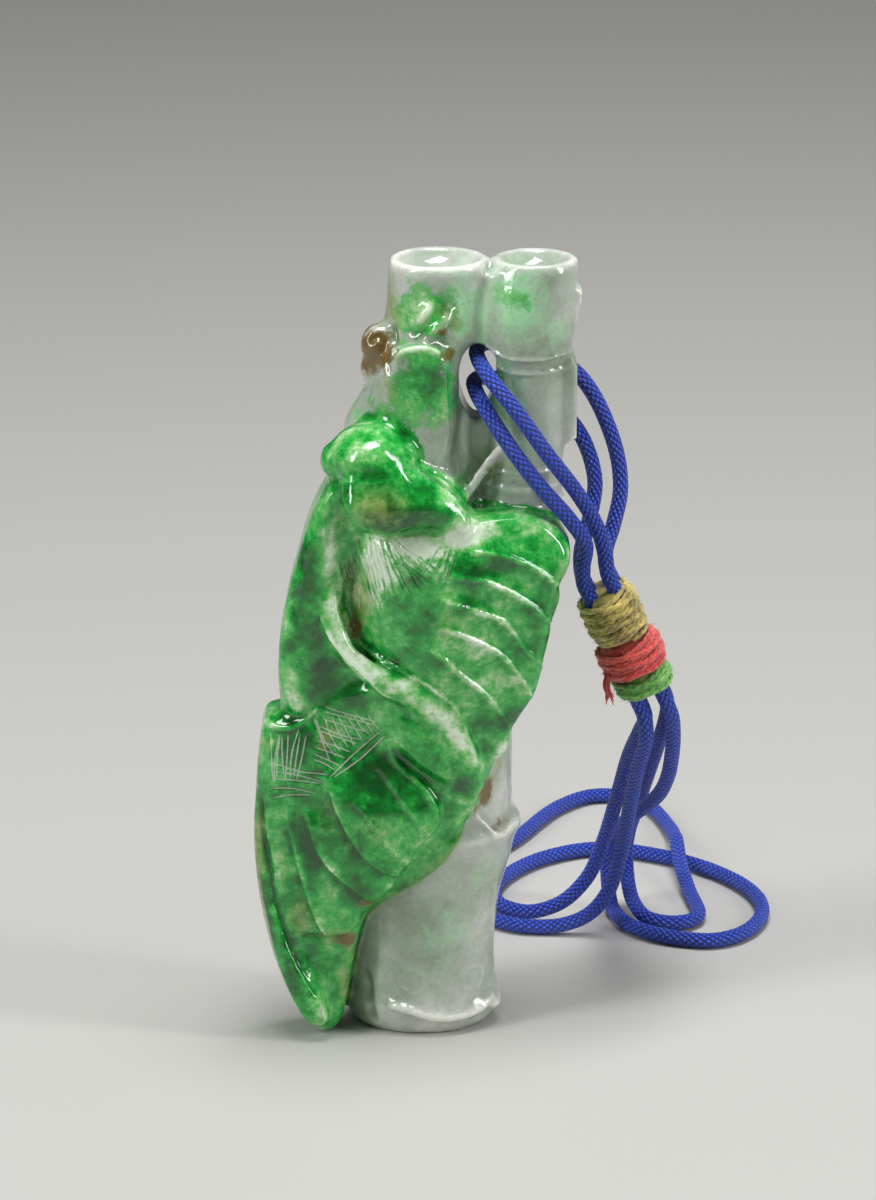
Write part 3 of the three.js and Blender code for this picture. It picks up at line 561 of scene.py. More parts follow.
def bar(bm, points, radii, flat=1.0):
    """A rounded bar along a curve. radii gives its half width on the way, flat how deep it is."""
    route = evenly(smooth_through(points, 10), 0.25)
    part = bmesh.new()
    sweep(part, route, lambda s: max(0.03, float(between(radii, s)) * (1 - (2 * s - 1) ** 12) ** 0.5), 18)
    for v in part.verts:
        nearest = min(route, key=lambda p: (p - v.co).length_squared)
        v.co.z = nearest.z + (v.co.z - nearest.z) * flat
    merge(bm, part)


def boulder(bm, centre, radii, turn=0.0):
    part = bmesh.new()
    matrix = Matrix.Translation(centre) @ Matrix.Rotation(turn, 4, "Z") @ Matrix.Diagonal((*radii, 1))
    bmesh.ops.create_icosphere(part, subdivisions=4, radius=1, matrix=matrix)
    merge(bm, part)


def slab(bm, corners, depth):
    """A flat-sided sliver of stone, as deep as given, centred on the stems' plane."""
    part = bmesh.new()
    face = part.faces.new([part.verts.new((x, y, -depth / 2)) for x, y in corners])
    grown = bmesh.ops.extrude_face_region(part, geom=[face], use_keep_orig=True)["geom"]
    upper = [item for item in grown if isinstance(item, bmesh.types.BMVert)]
    bmesh.ops.translate(part, vec=(0, 0, depth), verts=upper)
    merge(bm, part)


RIGHT_WING_EDGE = [
    (-4.4, 44.4), (0, 45), (4.2, 44.3), (8.4, 44.3), (10.8, 43.2), (12.1, 41.2), (11.9, 39.6),
    (11.2, 38.4), (11.3, 37.3), (10.6, 35.3), (10.5, 34.2), (10.0, 32.1), (9.9, 31.2), (8.9, 28.7),
    (7.5, 26.6), (7.0, 24.4), (6.1, 23.8), (4.8, 21.8), (0, 24), (-4, 28), (-6.2, 33), (-6.1, 37),
    (-5.2, 39.2), (-4.6, 42),
]
ARM_PLATE = [
    (-5.4, 49), (-7.4, 46.6), (-8.8, 43.6), (-9.9, 39.4), (-10.7, 35.5), (-11.2, 32.5), (-11.2, 30),
    (-10.8, 28), (-9, 26), (-3, 26), (-1, 30), (-4.5, 33.5), (-5.8, 37.5), (-4.4, 42), (-3.4, 46),
]
LEFT_WING = [
    (-10.8, 27.8), (-12.2, 27.5), (-12.8, 25), (-13.1, 21.3), (-13.3, 17.4), (-12.9, 12), (-11.6, 6.2),
    (-9.6, 1.7), (-7.7, 0), (-6.4, 1.0), (-5.7, 4.1), (-4.9, 8.4), (-4.1, 10.7), (-1.2, 13.1),
    (1.6, 15.3), (3.6, 18.6), (5.3, 21.8), (5.2, 23.6), (3.8, 27), (0, 30.6), (-5, 30.4), (-8.4, 29),
    (-9.4, 27.9),
]
LEFT_LOBES = [
    (1.1, 26.5, [
        (-2.4, 27.4), (-1.4, 23.9), (0.8, 21.7), (1.7, 19.8), (1.3, 18.3), (0.0, 17.0), (-0.4, 16.2),
        (-1.6, 14.6), (-2.8, 15.0), (-4.9, 16.9), (-6.1, 19.4), (-7.6, 22.6), (-5.8, 25.6),
    ]),
    (0.85, 23.4, [
        (-7.4, 22.8), (-4.6, 17.5), (-1.7, 14.7), (-2.2, 13.2), (-3.6, 12.2), (-5.2, 13.2),
        (-7.4, 15.2), (-8.6, 17.2), (-9.3, 20.4),
    ]),
    (0.55, 22.2, [
        (-9.0, 21.6), (-7.6, 15.8), (-4.9, 12.6), (-4.7, 10.6), (-5.6, 9.3), (-7.2, 8.8), (-8.3, 9.6),
        (-9.3, 12.4), (-10.3, 15.7), (-10.9, 20),
    ]),
    (0.3, 21.6, [
        (-10.8, 21.2), (-9.9, 15), (-8.5, 11), (-8.3, 9), (-9.4, 8.5), (-10.4, 9.2), (-11.2, 12),
        (-11.9, 16), (-12, 21),
    ]),
]
HOOD = [
    (-6.1, 46.9), (-5.9, 48.7), (-5.2, 50.2), (-3.1, 50.9), (-1.0, 49.8), (-0.2, 48.5), (1.9, 47.2),
    (3.2, 46.0), (4.1, 44.4), (4.1, 43.3), (2.9, 43.5), (1.2, 44.0), (-0.6, 44.1), (-2.0, 43.6),
    (-3.4, 43.5), (-4.8, 44.1), (-5.7, 45.2),
]
NEXT_JOINT = [
    (-2.2, 57.4), (0.2, 58), (2.4, 57.1), (3.0, 54), (3.1, 50.5), (2.2, 48.4), (-1, 48.6), (-4.2, 50.4),
    (-3.5, 54),
]
ROLLED_RIM = [
    (-6.9, 39.2, 6.3), (-6.8, 36.4, 6.9), (-6.0, 34.0, 7.3), (-4.2, 32.1, 7.6), (-1.4, 30.6, 7.7),
    (1.2, 28.9, 7.6), (3.0, 26.7, 7.2), (4.3, 24.4, 6.6),
]
ARM_BAND = [
    (-5.6, 48.2), (-7.2, 46.8), (-8.6, 44), (-9.6, 41), (-10.4, 38), (-11, 34.8), (-11.2, 32),
    (-10.9, 29.6), (-9.6, 28), (-8.4, 28.6), (-7.9, 31), (-7.4, 34.3), (-6.9, 38.4), (-6.3, 41.6),
    (-5.9, 44.5), (-5.2, 46.5),
]
ARM_MIDDLE = [(28, -9.7), (31, -9.7), (34.3, -9.4), (38.4, -8.7), (41.5, -8.1), (45, -7.3), (48, -6.4)]
OUTER_RIM = [
    (-12.2, 21, 5.4), (-12.3, 17, 5.6), (-11.8, 12, 5.8), (-10.5, 7.2, 5.9), (-8.9, 3.4, 6), (-7.7, 1.25, 6),
]
SLOT = [
    (4.6, 57.5), (5.9, 56.8), (6.2, 54.8), (5.6, 52.6), (4.7, 51.0), (3.6, 52.3), (3.2, 54.4), (3.5, 56.4),
]


def from_rim(x, y):
    """Distance from the rolled rim's middle line."""
    return near_line([point[:2] for point in ROLLED_RIM], x, y)[0]


def right_face(x, y):
    across = np.where(x > 2, -0.36 * (x - 2), -0.055 * (2 - x) ** 2)
    under_rim = 0.9 * np.exp(-((from_rim(x, y) / 2.0) ** 2))
    return 9.1 + across - 0.07 * np.maximum(0, 38 - y) - 0.35 * np.maximum(0, y - 41) - under_rim


def left_face(x, y):
    towards_rim = 1.35 * np.exp(-((from_rim(x, y) / 2.6) ** 2))
    wrist = 0.7 * np.exp(-(((x + 9.5) ** 2 + (y - 24) ** 2) / 4.0**2))
    return 6.5 + towards_rim + wrist - 0.07 * np.maximum(0, 19 - y)


def arm_face(x, y):
    return 7.3 - 0.3 * (x - between(ARM_MIDDLE, y)) ** 2


def hood_face(x, y):
    return 10.0 - 0.2 * np.maximum(0, x + 2) - 0.38 * np.maximum(0, y - 46)


stone_bm = bmesh.new()
stem(stone_bm, THICK_STEM, 0)
stem(stone_bm, THIN_STEM, 22)
carved_layer(stone_bm, RIGHT_WING_EDGE, right_face, 0.7, 0.6, back=0.6, back_drop=0.7)
carved_layer(stone_bm, ARM_PLATE, lambda x, y: 6.5 + 0 * x, 1.2, 1.2, back=0.95, back_drop=0.9)
carved_layer(stone_bm, ARM_BAND, arm_face, 0.7, 0.6, back=3)
carved_layer(stone_bm, LEFT_WING, left_face, 1.0, 0.9, back=0.75, back_drop=0.9)
for rise, top, lobe in LEFT_LOBES:
    slope = [(top - 8, rise), (top, 0)]
    carved_layer(stone_bm, lobe, lambda x, y: left_face(x, y) + between(slope, y), 0.3, 0.25, back=4)
carved_layer(stone_bm, HOOD, hood_face, 1.6, 1.3, back=3)
carved_layer(stone_bm, NEXT_JOINT, lambda x, y: 5.2 - 0.13 * (x + 0.2) ** 2, 0.8, 0.5, back=1)
bar(stone_bm, ROLLED_RIM, [(0, 0.5), (0.25, 0.8), (0.6, 1.1), (1, 0.7)], flat=0.85)
bar(stone_bm, OUTER_RIM, [(0, 0.5), (0.4, 0.8), (0.8, 1.2), (1, 1.2)])
bar(stone_bm, [(0.4, 58.2, 3.9), (1.7, 59.4, 4.0), (2.9, 60.6, 3.4)], [(0, 0.3), (0.5, 0.6), (1, 0.3)])
bar(stone_bm, [(-0.2, 59.5, 3.9), (0.7, 60.5, 3.9), (1.5, 61.5, 3.5)], [(0, 0.25), (0.5, 0.45), (1, 0.25)])
bar(stone_bm, [(3.6, 45.2, 4.1), (5.1, 47.3, 3.3), (6.6, 49.3, 2.8)], [(0, 0.4), (0.5, 0.45), (1, 0.4)])
boulder(stone_bm, (-3.9, 49.2, 5.2), (3.2, 2.5, 4.0))
boulder(stone_bm, (-6.7, 48.8, 5.2), (1.1, 1.4, 1.9))
boulder(stone_bm, (-4.5, 49.5, 7.0), (1.5, 1.35, 2.0))
boulder(stone_bm, (-1.7, 49.3, 5.9), (1.5, 1.4, 2.2))
boulder(stone_bm, (-3.1, 57.2, 1.2), (1.5, 1.75, 1.6))
boulder(stone_bm, (-3.6, 55.4, 0.8), (1.0, 1.5, 1.3), -0.3)
boulder(stone_bm, (11.3, 44.2, 0.6), (0.6, 0.6, 0.6))
boulder(stone_bm, (7.3, 17.4, 1.0), (1.1, 0.8, 2.2))
boulder(stone_bm, (6.0, 1.9, 1.2), (0.8, 0.7, 2.0))
slab(stone_bm, [(3.6, 45.5), (6.5, 45.5), (6.4, 51.9), (3.3, 51.9)], 3.2)
slab(stone_bm, [(3.4, 57.4), (6.8, 57.2), (6.8, 63.3), (3.4, 63.3)], 5.2)
slab(stone_bm, [(11.2, 57.2), (12.2, 57), (13.1, 61.5), (12.7, 62.1), (11.2, 61.6)], 3)
slab(stone_bm, [(11.2, 49), (12.6, 49.3), (12.65, 55.4), (12.1, 56.8), (11.2, 55.8)], 3.4)


def made_object(bm, name):
    mesh = bpy.data.meshes.new(name)
    bm.to_mesh(mesh)
    bm.free()
    made = bpy.data.objects.new(name, mesh)
    bpy.context.scene.collection.objects.link(made)
    return made


def applied(made):
    """The object's mesh with its modifiers in it. The object itself is gone."""
    depsgraph = bpy.context.evaluated_depsgraph_get()
    mesh = bpy.data.meshes.new_from_object(made.evaluated_get(depsgraph))
    bpy.data.objects.remove(made)
    return mesh


# The forms grow together as one stone, and the slot for the cord is cut through them.
GRAIN = 0.3
slot_bm = bmesh.new()
slot_outline = smooth_through(SLOT, 6, closed=True)
slot_face = slot_bm.faces.new([slot_bm.verts.new((x, y, -10)) for x, y in slot_outline])
slot_grown = bmesh.ops.extrude_face_region(slot_bm, geom=[slot_face], use_keep_orig=True)["geom"]
bmesh.ops.translate(
    slot_bm, vec=(0, 0, 20), verts=[item for item in slot_grown if isinstance(item, bmesh.types.BMVert)]
)
bmesh.ops.recalc_face_normals(slot_bm, faces=slot_bm.faces[:])
slot_tool = made_object(slot_bm, "slot")
stone_form = made_object(stone_bm, "stone_form")
joined = stone_form.modifiers.new("joined", "REMESH")
joined.mode = "VOXEL"
joined.voxel_size = GRAIN
cut = stone_form.modifiers.new("slot", "BOOLEAN")
cut.operation = "DIFFERENCE"
cut.object = slot_tool
cut.solver = "FAST"
again = stone_form.modifiers.new("again", "REMESH")
again.mode = "VOXEL"
again.voxel_size = GRAIN
worn = stone_form.modifiers.new("polished", "SMOOTH")
worn.factor = 0.5
worn.iterations = 2
stone_mesh = applied(stone_form)
bpy.data.objects.remove(slot_tool)

# Lines cut and raised by the carver's tools, each a path on the front: half width and height.
RIGHT_RIBS = [
    [(3.9, 42.0), (6.5, 41.5), (8.9, 40.4), (11.2, 38.5)],
    [(2.3, 40.3), (4.9, 39.7), (6.5, 38.9), (8.9, 37.2), (10.6, 35.4)],
    [(1.7, 38.4), (4.9, 37.0), (6.5, 36.2), (7.7, 34.8), (8.5, 33.4), (9.9, 32.0)],
    [(1.6, 36.1), (3.3, 35.3), (4.9, 34.4), (6.5, 33.2), (8.1, 31.2), (9.1, 29.0)],
    [(0.9, 34.3), (2.1, 33.3), (3.1, 32.1), (4.9, 30.4), (6.1, 29.0), (7.4, 26.8)],
]
line_chance = random.Random(7)


def strokes(count, first_start, first_end, last_start, last_end, waver):
    """Hand-cut lines that fan from the first to the last, none quite parallel or as long."""
    fan = []
    for i in range(count):
        share = (i + line_chance.uniform(-0.3, 0.3)) / (count - 1)
        ends = []
        for a, b in ((first_start, last_start), (first_end, last_end)):
            x, y = (a[n] + (b[n] - a[n]) * share for n in (0, 1))
            ends.append((x + line_chance.uniform(-waver, waver), y + line_chance.uniform(-waver, waver)))
        (x0, y0), (x1, y1) = ends
        bow = line_chance.uniform(-0.06, 0.06)
        middle = ((x0 + x1) / 2 + bow * (y1 - y0), (y0 + y1) / 2 - bow * (x1 - x0))
        fan.append([(x0, y0), middle, (x1, y1)])
    return fan


FUR = (
    strokes(15, (-4.4, 42.4), (-3.4, 38.2), (-1.6, 42.6), (0.0, 39.4), 0.45)
    + strokes(7, (-1.9, 42.6), (1.2, 41.0), (-1.0, 41.3), (0.8, 39.9), 0.35)
    + strokes(6, (1.7, 42.8), (0.2, 40.2), (3.2, 42.3), (2.0, 39.6), 0.35)
    + strokes(11, (-6.0, 40.8), (-5.3, 36.6), (-4.4, 41.6), (-3.2, 37.0), 0.35)
)
HATCH = (
    strokes(9, (-7.5, 28.9), (-3.2, 27.6), (-8.6, 24.4), (-6.7, 23.4), 0.12)
    + strokes(9, (-8.6, 27.9), (-7.0, 24.2), (-4.2, 28.2), (-3.0, 26.8), 0.12)
    + strokes(2, (-7.3, 22.9), (-2.8, 26.8), (-6.8, 22.9), (-2.4, 26.4), 0.05)
    + strokes(5, (-11.9, 24.0), (-7.1, 23.0), (-11.8, 21.3), (-8.4, 21.2), 0.25)
    + strokes(8, (-11.9, 26.6), (-12.0, 22.6), (-8.9, 26.9), (-9.6, 22.8), 0.35)
)
RAISED = [
    ([(-12.4, 27.4), (-11.4, 27.0), (-10.2, 27.0), (-9.0, 27.7), (-8.0, 28.7)], 0.22, 0.25),
    ([(-8.0, 38.4), (-7.4, 35.5), (-5.9, 33.4), (-4.3, 32.0), (-2.7, 30.2), (-1.1, 29.6)], 0.16, 0.14),
    ([(-5.9, 36.5), (-5.3, 34.8), (-4.3, 33.5), (-1.5, 32.2), (0.9, 30.9), (2.9, 28.9), (4.1, 25.8),
      (4.8, 24.0)], 0.2, 0.22),
    ([(-2.4, 25.7), (-1.8, 24.1), (0.5, 21.8), (1.5, 19.9)], 0.22, 0.2),
    ([(-1.4, 4.75), (-1.1, 5.45), (-0.4, 5.75), (0.3, 5.45), (0.55, 4.75), (0.3, 4.05), (-0.4, 3.7),
      (-1.1, 4.05), (-1.4, 4.7)], 0.2, 0.07),
    ([(3.5, 4.4), (3.8, 5.2), (4.4, 5.5), (5.0, 5.2), (5.2, 4.4), (4.9, 3.7), (4.3, 3.5), (3.7, 3.8),
      (3.5, 4.3)], 0.2, 0.07),
    ([(-2.6, 2.7), (-0.6, 2.35), (1.2, 1.75), (2.9, 1.6), (4.6, 1.8), (6.2, 2.6)], 0.4, 0.45),
    ([(4.2, 19.6), (5.2, 18.2), (6.6, 17.0), (8.0, 17.9)], 0.22, 0.16),
    ([(6.3, 5.0), (5.9, 8.5), (6.2, 12.5)], 0.3, 0.25),
    ([(-5.9, 48.1), (-4.6, 48.0), (-3.2, 48.0), (-1.7, 48.3)], 0.14, 0.07),
    ([(-0.5, 48.5), (1.9, 47.2), (3.5, 45.4), (4.1, 43.8)], 0.3, 0.2),
    ([(-2.1, 56.9), (-0.9, 57.6), (0.5, 57.75), (1.8, 57.2)], 0.2, 0.25),
    ([(-6.4, 40.6), (-6.2, 38.6), (-6.3, 37.0)], 0.15, 0.1),
    ([(5.3, 56.2), (7.0, 55.4), (9.6, 55.3), (12.3, 55.5)], 0.15, 0.17),
    ([(5.2, 57.3), (7.0, 56.6), (9.6, 56.5), (12.4, 56.8)], 0.15, 0.17),
    ([(4.8, 47.3), (8.1, 47.1), (11.4, 47.1)], 0.13, 0.13),
    ([(4.8, 45.9), (8.1, 45.8), (11.4, 45.8)], 0.13, 0.13),
] + [(rib, 0.17, 0.22) for rib in RIGHT_RIBS] + [(rib, 0.9, 0.2) for rib in RIGHT_RIBS]
GROOVES = [
    ([(-12.7, 21.6), (-12.6, 18.2), (-12.1, 15.6), (-11.6, 12.6), (-11.0, 10.5), (-10.2, 8.3), (-9.2, 6.2),
      (-8.2, 4.2)], 0.25, -0.35),
    ([(-9.6, 9.0), (-8.0, 8.8), (-6.4, 9.0)], 0.2, -0.2),
    ([(-4.5, 5.4), (-4.1, 4.1), (-3.9, 2.4), (-3.7, 0.8)], 0.3, -0.3),
    ([(-2.9, 56.8), (-2.6, 57.6), (-3.2, 58.2), (-3.9, 57.6)], 0.25, -0.25),
    ([(-2.2, 55.6), (-2.4, 56.4), (-1.8, 57.6), (-2.0, 59.2)], 0.25, -0.25),
    ([(4.7, 57.0), (4.75, 59.5), (5.0, 62.0), (5.5, 64.0)], 0.5, -0.3),
]
RUBBED_SOFT = [(3.2, 7.0, 57.6, 62.6, 14), (-6.0, 1.0, 46.8, 50.4, 8), (-10.5, -4.5, 28.8, 34.5, 8)]
STEPS = [
    ([(-7.3, 21.9), (-6.5, 19.8), (-5.0, 16.9), (-3.2, 15.0), (-1.6, 14.3)], 0.3),
    ([(-9.2, 19.8), (-8.4, 17.0), (-7.2, 15.0), (-5.0, 12.9), (-4.0, 11.9)], 0.28),
    ([(-10.6, 18.8), (-9.9, 15.6), (-9.0, 12.2), (-8.0, 9.6), (-7.2, 8.6)], 0.25),
    ([(-5.4, 21.0), (-3.8, 18.8), (-2.0, 16.4), (-0.8, 15.2)], 0.1),
    ([(-3.2, 23.6), (-1.8, 21.4), (0.0, 18.8), (0.9, 17.8)], 0.1),
]
STEP_REACH = 1.3
CUT_DEPTH = 0.06
CUT_HALF_WIDTH = 0.065


fine_bm = bmesh.new()
fine_bm.from_mesh(stone_mesh)
for x0, x1, y0, y1, passes in RUBBED_SOFT:
    rubbed = [v for v in fine_bm.verts if x0 < v.co.x < x1 and y0 < v.co.y < y1]
    for _ in range(passes):
        bmesh.ops.smooth_vert(fine_bm, verts=rubbed, factor=0.5, use_axis_x=True, use_axis_y=True, use_axis_z=True)
carved_lines = [line for line, half_width, height in RAISED + GROOVES if half_width < 0.5]
step_lines = [line for line, height in STEPS]
for lines, reach in ((FUR + HATCH + step_lines + carved_lines, 0.3), (FUR + HATCH, 0.14)):
    middles = np.array([(e.verts[0].co + e.verts[1].co) / 2 for e in fine_bm.edges])
    near = np.zeros(len(middles), bool)
    for line in lines:
        near |= near_line(line, middles[:, 0], middles[:, 1])[0] < reach
    near &= middles[:, 2] > 0.5
    fine_edges = [e for e, is_near in zip(fine_bm.edges, near) if is_near]
    bmesh.ops.subdivide_edges(fine_bm, edges=fine_edges, cuts=1, use_grid_fill=True)
fine_bm.to_mesh(stone_mesh)
fine_bm.free()

count = len(stone_mesh.vertices)
co = np.empty(count * 3)
stone_mesh.vertices.foreach_get("co", co)
co = co.reshape(-1, 3)
normal_list = np.empty(count * 3, np.float32)
stone_mesh.vertex_normals.foreach_get("vector", normal_list)
normal = normal_list.reshape(-1, 3)
facing = np.clip((normal[:, 2] - 0.1) / 0.3, 0, 1)
lift = np.zeros(count)
frosted = np.zeros(count)
carved = [(line, half_width, height, 0) for line, half_width, height in RAISED + GROOVES]
carved += [(line, CUT_HALF_WIDTH, -CUT_DEPTH, 0.5) for line in FUR]
carved += [(line, CUT_HALF_WIDTH, -CUT_DEPTH, 0.85) for line in HATCH]
for line, half_width, height, frost in carved:
    reach = np.array(line, float)
    near = (
        (co[:, 0] > reach[:, 0].min() - 1) & (co[:, 0] < reach[:, 0].max() + 1)
        & (co[:, 1] > reach[:, 1].min() - 1) & (co[:, 1] < reach[:, 1].max() + 1) & (facing > 0)
    )
    distance, share, side = near_line(line, co[near, 0], co[near, 1])
    taper = np.clip(np.minimum(share, 1 - share) * 8, 0, 1) ** 0.5
    shape = np.clip(1 - (distance / (1.6 * half_width)) ** 2, 0, 1) ** 2 * taper
    lift[near] += height * shape * facing[near]
    frosted[near] = np.maximum(frosted[near], frost * shape)
for line, height in STEPS:
    distance, share, side = near_line(line, co[:, 0], co[:, 1])
    crest = np.where(side > 0, 1, -1) * np.exp(-distance / STEP_REACH) * np.clip(distance / 0.12, 0, 1)
    taper = np.clip(np.minimum(share, 1 - share) * 6, 0, 1) ** 0.5
    lift += height * crest * taper * facing * (co[:, 2] > 4)
co = co + normal * np.clip(lift, -0.4, 0.5)[:, None]
stone_mesh.vertices.foreach_set("co", co.ravel())
stone_mesh.update()

# How sharply the surface turns outwards, for each millimetre: the colour is painted paler on thin edges as a glow,
# and darker in hollows as shade.
stone_mesh.vertex_normals.foreach_get("vector", normal_list)
normal = normal_list.reshape(-1, 3)
edge_ends = np.empty(len(stone_mesh.edges) * 2, np.int32)
stone_mesh.edges.foreach_get("vertices", edge_ends)
one, other = edge_ends.reshape(-1, 2).T
neighbours = np.bincount(one, minlength=count) + np.bincount(other, minlength=count)


def averaged(values):
    total = np.bincount(one, values[other], count) + np.bincount(other, values[one], count)
    return total / neighbours


spacing = np.linalg.norm(co[one] - co[other], axis=1)
around_squared = np.bincount(one, spacing**2, count) + np.bincount(other, spacing**2, count)
away = co - np.stack([averaged(co[:, i]) for i in range(3)], axis=1)
turning = 4 * (away * normal).sum(1) / (around_squared / neighbours)
for _ in range(3):
    turning = averaged(turning)

# Where the stone is green, deep green, clouded, olive or russet, as it is seen from the front: middle, half width,
# half height and strength of each patch. The pale patches on the fur under the hood and at the right wing's top are
# painted highlights.
PATCHES = {
    "deep": [
        (-1.4, 45.0, 3.2, 1.4, 0.9), (-3.2, 22.9, 3.4, 2.6, 1.0), (-10.0, 24.9, 1.4, 2.4, 0.9),
        (-7.2, 31.4, 1.2, 2.6, 1.0), (4.6, 40.4, 2.4, 0.9, 0.8), (-5.2, 14.5, 1.2, 3.5, 0.9),
        (2.8, 21.3, 1.8, 1.8, 0.6), (1.9, 60.8, 0.9, 1.0, 0.6), (1.2, 55.0, 1.0, 1.8, 0.7),
        (-9.4, 37.6, 0.8, 3.0, 0.5), (-5.0, 29.6, 1.6, 1.2, 0.9), (8.2, 33.6, 1.4, 1.2, 0.7),
        (-8.8, 16.0, 0.9, 3.0, 0.8), (-12.3, 12.0, 0.8, 4.0, 0.8), (3.2, 37.6, 1.8, 0.8, 0.8),
        (0.4, 36.6, 1.4, 1.2, 0.6), (-7.6, 5.8, 1.0, 1.2, 0.5), (7.6, 27.6, 1.4, 1.4, 0.8),
        (-2.2, 24.0, 2.0, 1.2, 0.6), (-10.4, 6.6, 0.8, 2.6, 0.9), (-10.2, 33.6, 0.8, 1.8, 0.4),
        (-9.0, 41.2, 0.8, 1.2, 0.7), (1.4, 33.0, 1.4, 1.0, 0.7),
    ],
    "pale_cloud_and_highlight": [
        (-4.6, 50.1, 1.6, 1.2, 0.8), (4.2, 34.2, 2.6, 1.8, 0.8), (-3.8, 31.9, 1.4, 0.7, 1.4),
        (-1.2, 31.0, 2.2, 0.9, 1.4), (2.4, 28.0, 1.8, 1.2, 0.8), (-10.0, 30.6, 0.8, 2.4, 0.9),
        # The three strongest pale patches, on the fur under the hood and at the right wing's top, are painted
        # highlights.
        (-2.4, 17.6, 2.4, 1.8, 0.6), (9.4, 43.2, 2.2, 0.9, 0.6), (-3.2, 41.2, 1.4, 2.2, 2.0),
        (-0.4, 42.4, 3.0, 1.2, 2.2), (3.6, 43.2, 1.8, 1.0, 2.4), (6.8, 24.6, 1.0, 1.6, 1.0),
        (6.5, 30.4, 1.6, 1.6, 0.6), (-7.6, 3.2, 0.8, 2.2, 0.6), (2.4, 46.8, 0.8, 1.0, 0.8),
        (-7.0, 41.0, 0.6, 2.8, 1.6), (4.0, 19.6, 1.4, 1.8, 0.7), (-1.4, 26.4, 2.0, 0.9, 0.7),
        (-7.4, 12.4, 1.0, 1.6, 0.6), (-11.4, 14.0, 0.6, 3.0, 0.7), (-6.8, 35.0, 0.6, 2.0, 1.0),
        (-10.6, 36.0, 0.5, 2.0, 0.7), (0.6, 60.8, 1.2, 1.4, 0.7), (0.2, 52.6, 1.4, 1.2, 0.7),
    ],
    "mint": [
        (7.8, 60.8, 2.6, 3.4, 1.3), (7.0, 53.4, 2.2, 3.4, 0.9), (3.4, 60.6, 1.6, 3.4, 1.2),
        (10.6, 58.6, 1.6, 2.2, 0.7), (4.9, 59.4, 0.9, 4.0, 1.1), (2.0, 8.4, 3.6, 4.0, 0.6),
        (-5.4, 53.0, 1.4, 2.4, 0.7), (5.4, 14.0, 2.0, 2.0, 0.6), (8.8, 49.4, 1.6, 1.4, 0.6),
    ],
    "olive": [
        (-2.8, 61.2, 1.5, 3.4, 1.5), (-4.6, 38.6, 1.3, 3.6, 1.3), (-3.2, 46.2, 3.4, 2.6, 1.2),
        (-7.2, 26.2, 1.4, 2.0, 1.1), (-12.9, 17.0, 0.6, 6.0, 1.4), (-7.0, 9.0, 2.4, 1.0, 1.0),
        (10.0, 42.2, 2.0, 1.0, 0.6), (0.6, 26.2, 2.4, 0.7, 0.8), (6.6, 47.6, 2.8, 1.6, 1.0),
        (11.2, 38.0, 0.6, 3.0, 0.8), (-9.6, 10.8, 1.4, 2.4, 1.1), (-2.6, 54.6, 1.4, 2.8, 1.1),
        (2.4, 60.0, 1.4, 2.0, 1.1), (-6.0, 4.6, 0.8, 3.4, 1.2), (-12.0, 25.6, 1.0, 1.0, 0.8),
        (2.0, 50.6, 1.8, 3.2, 0.8), (-3.4, 18.4, 3.2, 2.8, 0.9), (-7.4, 19.4, 1.2, 2.6, 0.9), (2.2, 36.2, 2.0, 1.4, 0.7),
        (3.4, 32.0, 1.6, 1.2, 0.7), (9.6, 46.8, 2.0, 1.0, 0.7),
    ],
    "russet": [
        (-3.8, 57.0, 2.2, 2.4, 1.5), (2.0, 58.9, 1.0, 1.0, 0.9), (-6.0, 8.6, 1.2, 0.8, 1.1),
        (5.4, 20.6, 0.8, 1.4, 1.1), (-7.6, 25.6, 0.7, 1.8, 1.0), (7.4, 46.4, 2.4, 0.5, 0.9),
        (-3.0, 45.6, 0.8, 1.6, 0.6), (2.4, 57.0, 0.9, 1.0, 0.9), (6.6, 17.8, 1.2, 0.6, 0.9),
        (-4.2, 11.8, 1.2, 0.5, 0.9), (-4.9, 35.4, 0.6, 2.4, 0.9), (-13.2, 19.8, 0.5, 1.6, 0.9),
        (-3.4, 62.4, 0.5, 1.4, 0.8), (-5.6, 40.2, 0.5, 2.0, 0.9),
    ],
    "green": [
        (0.2, 54.4, 3.2, 3.8, 1.2), (-2.0, 51.6, 3.0, 2.2, 1.0), (0.6, 60.4, 3.0, 2.8, 0.95),
        (2.8, 55.6, 0.8, 3.0, 0.6), (8.4, 61.2, 2.2, 1.6, 0.5), (7.4, 58.8, 1.4, 1.6, 0.45),
        (1.8, 58.4, 1.0, 0.8, 0.7), (6.6, 54.0, 0.9, 2.6, 0.4), (3.4, 46.6, 1.6, 1.0, 0.6),
    ],
}
# Pale and stained lines, each with its half width and strength: the rolled rim is whitish all the
# way down, and a brown stain has settled where the left wing meets the stem.
LINES = [
    ("pale_cloud_and_highlight", [point[:2] for point in ROLLED_RIM], 0.75, 0.95),
    ("olive", [(6.6, 23.0), (5.4, 20.6), (3.8, 18.2), (1.6, 15.2), (-1.2, 12.8), (-4.2, 10.2)], 0.7, 0.95),
    ("olive", [(-7.0, 8.8), (-5.2, 7.2), (-5.2, 4.0), (-6.0, 1.2)], 0.6, 1.0),
    ("russet", [(5.8, 21.6), (5.0, 20.0), (3.6, 18.0)], 0.4, 0.8),
    ("olive", [(-12.9, 26.8), (-13.2, 21.0), (-13.2, 15.0), (-12.2, 9.0)], 0.5, 1.2),
]
BAT_OUTLINES = [
    (RIGHT_WING_EDGE, 0.8), (ARM_PLATE, 1.0), (LEFT_WING, 0.9), (HOOD, 4.0),
    ([(-7.8, 49), (-6.8, 51), (-4, 51.9), (-1, 51.2), (0.2, 49), (-2, 47), (-6, 47)], 3.0),
]
x, y, z = co.T
bat = np.zeros(count)
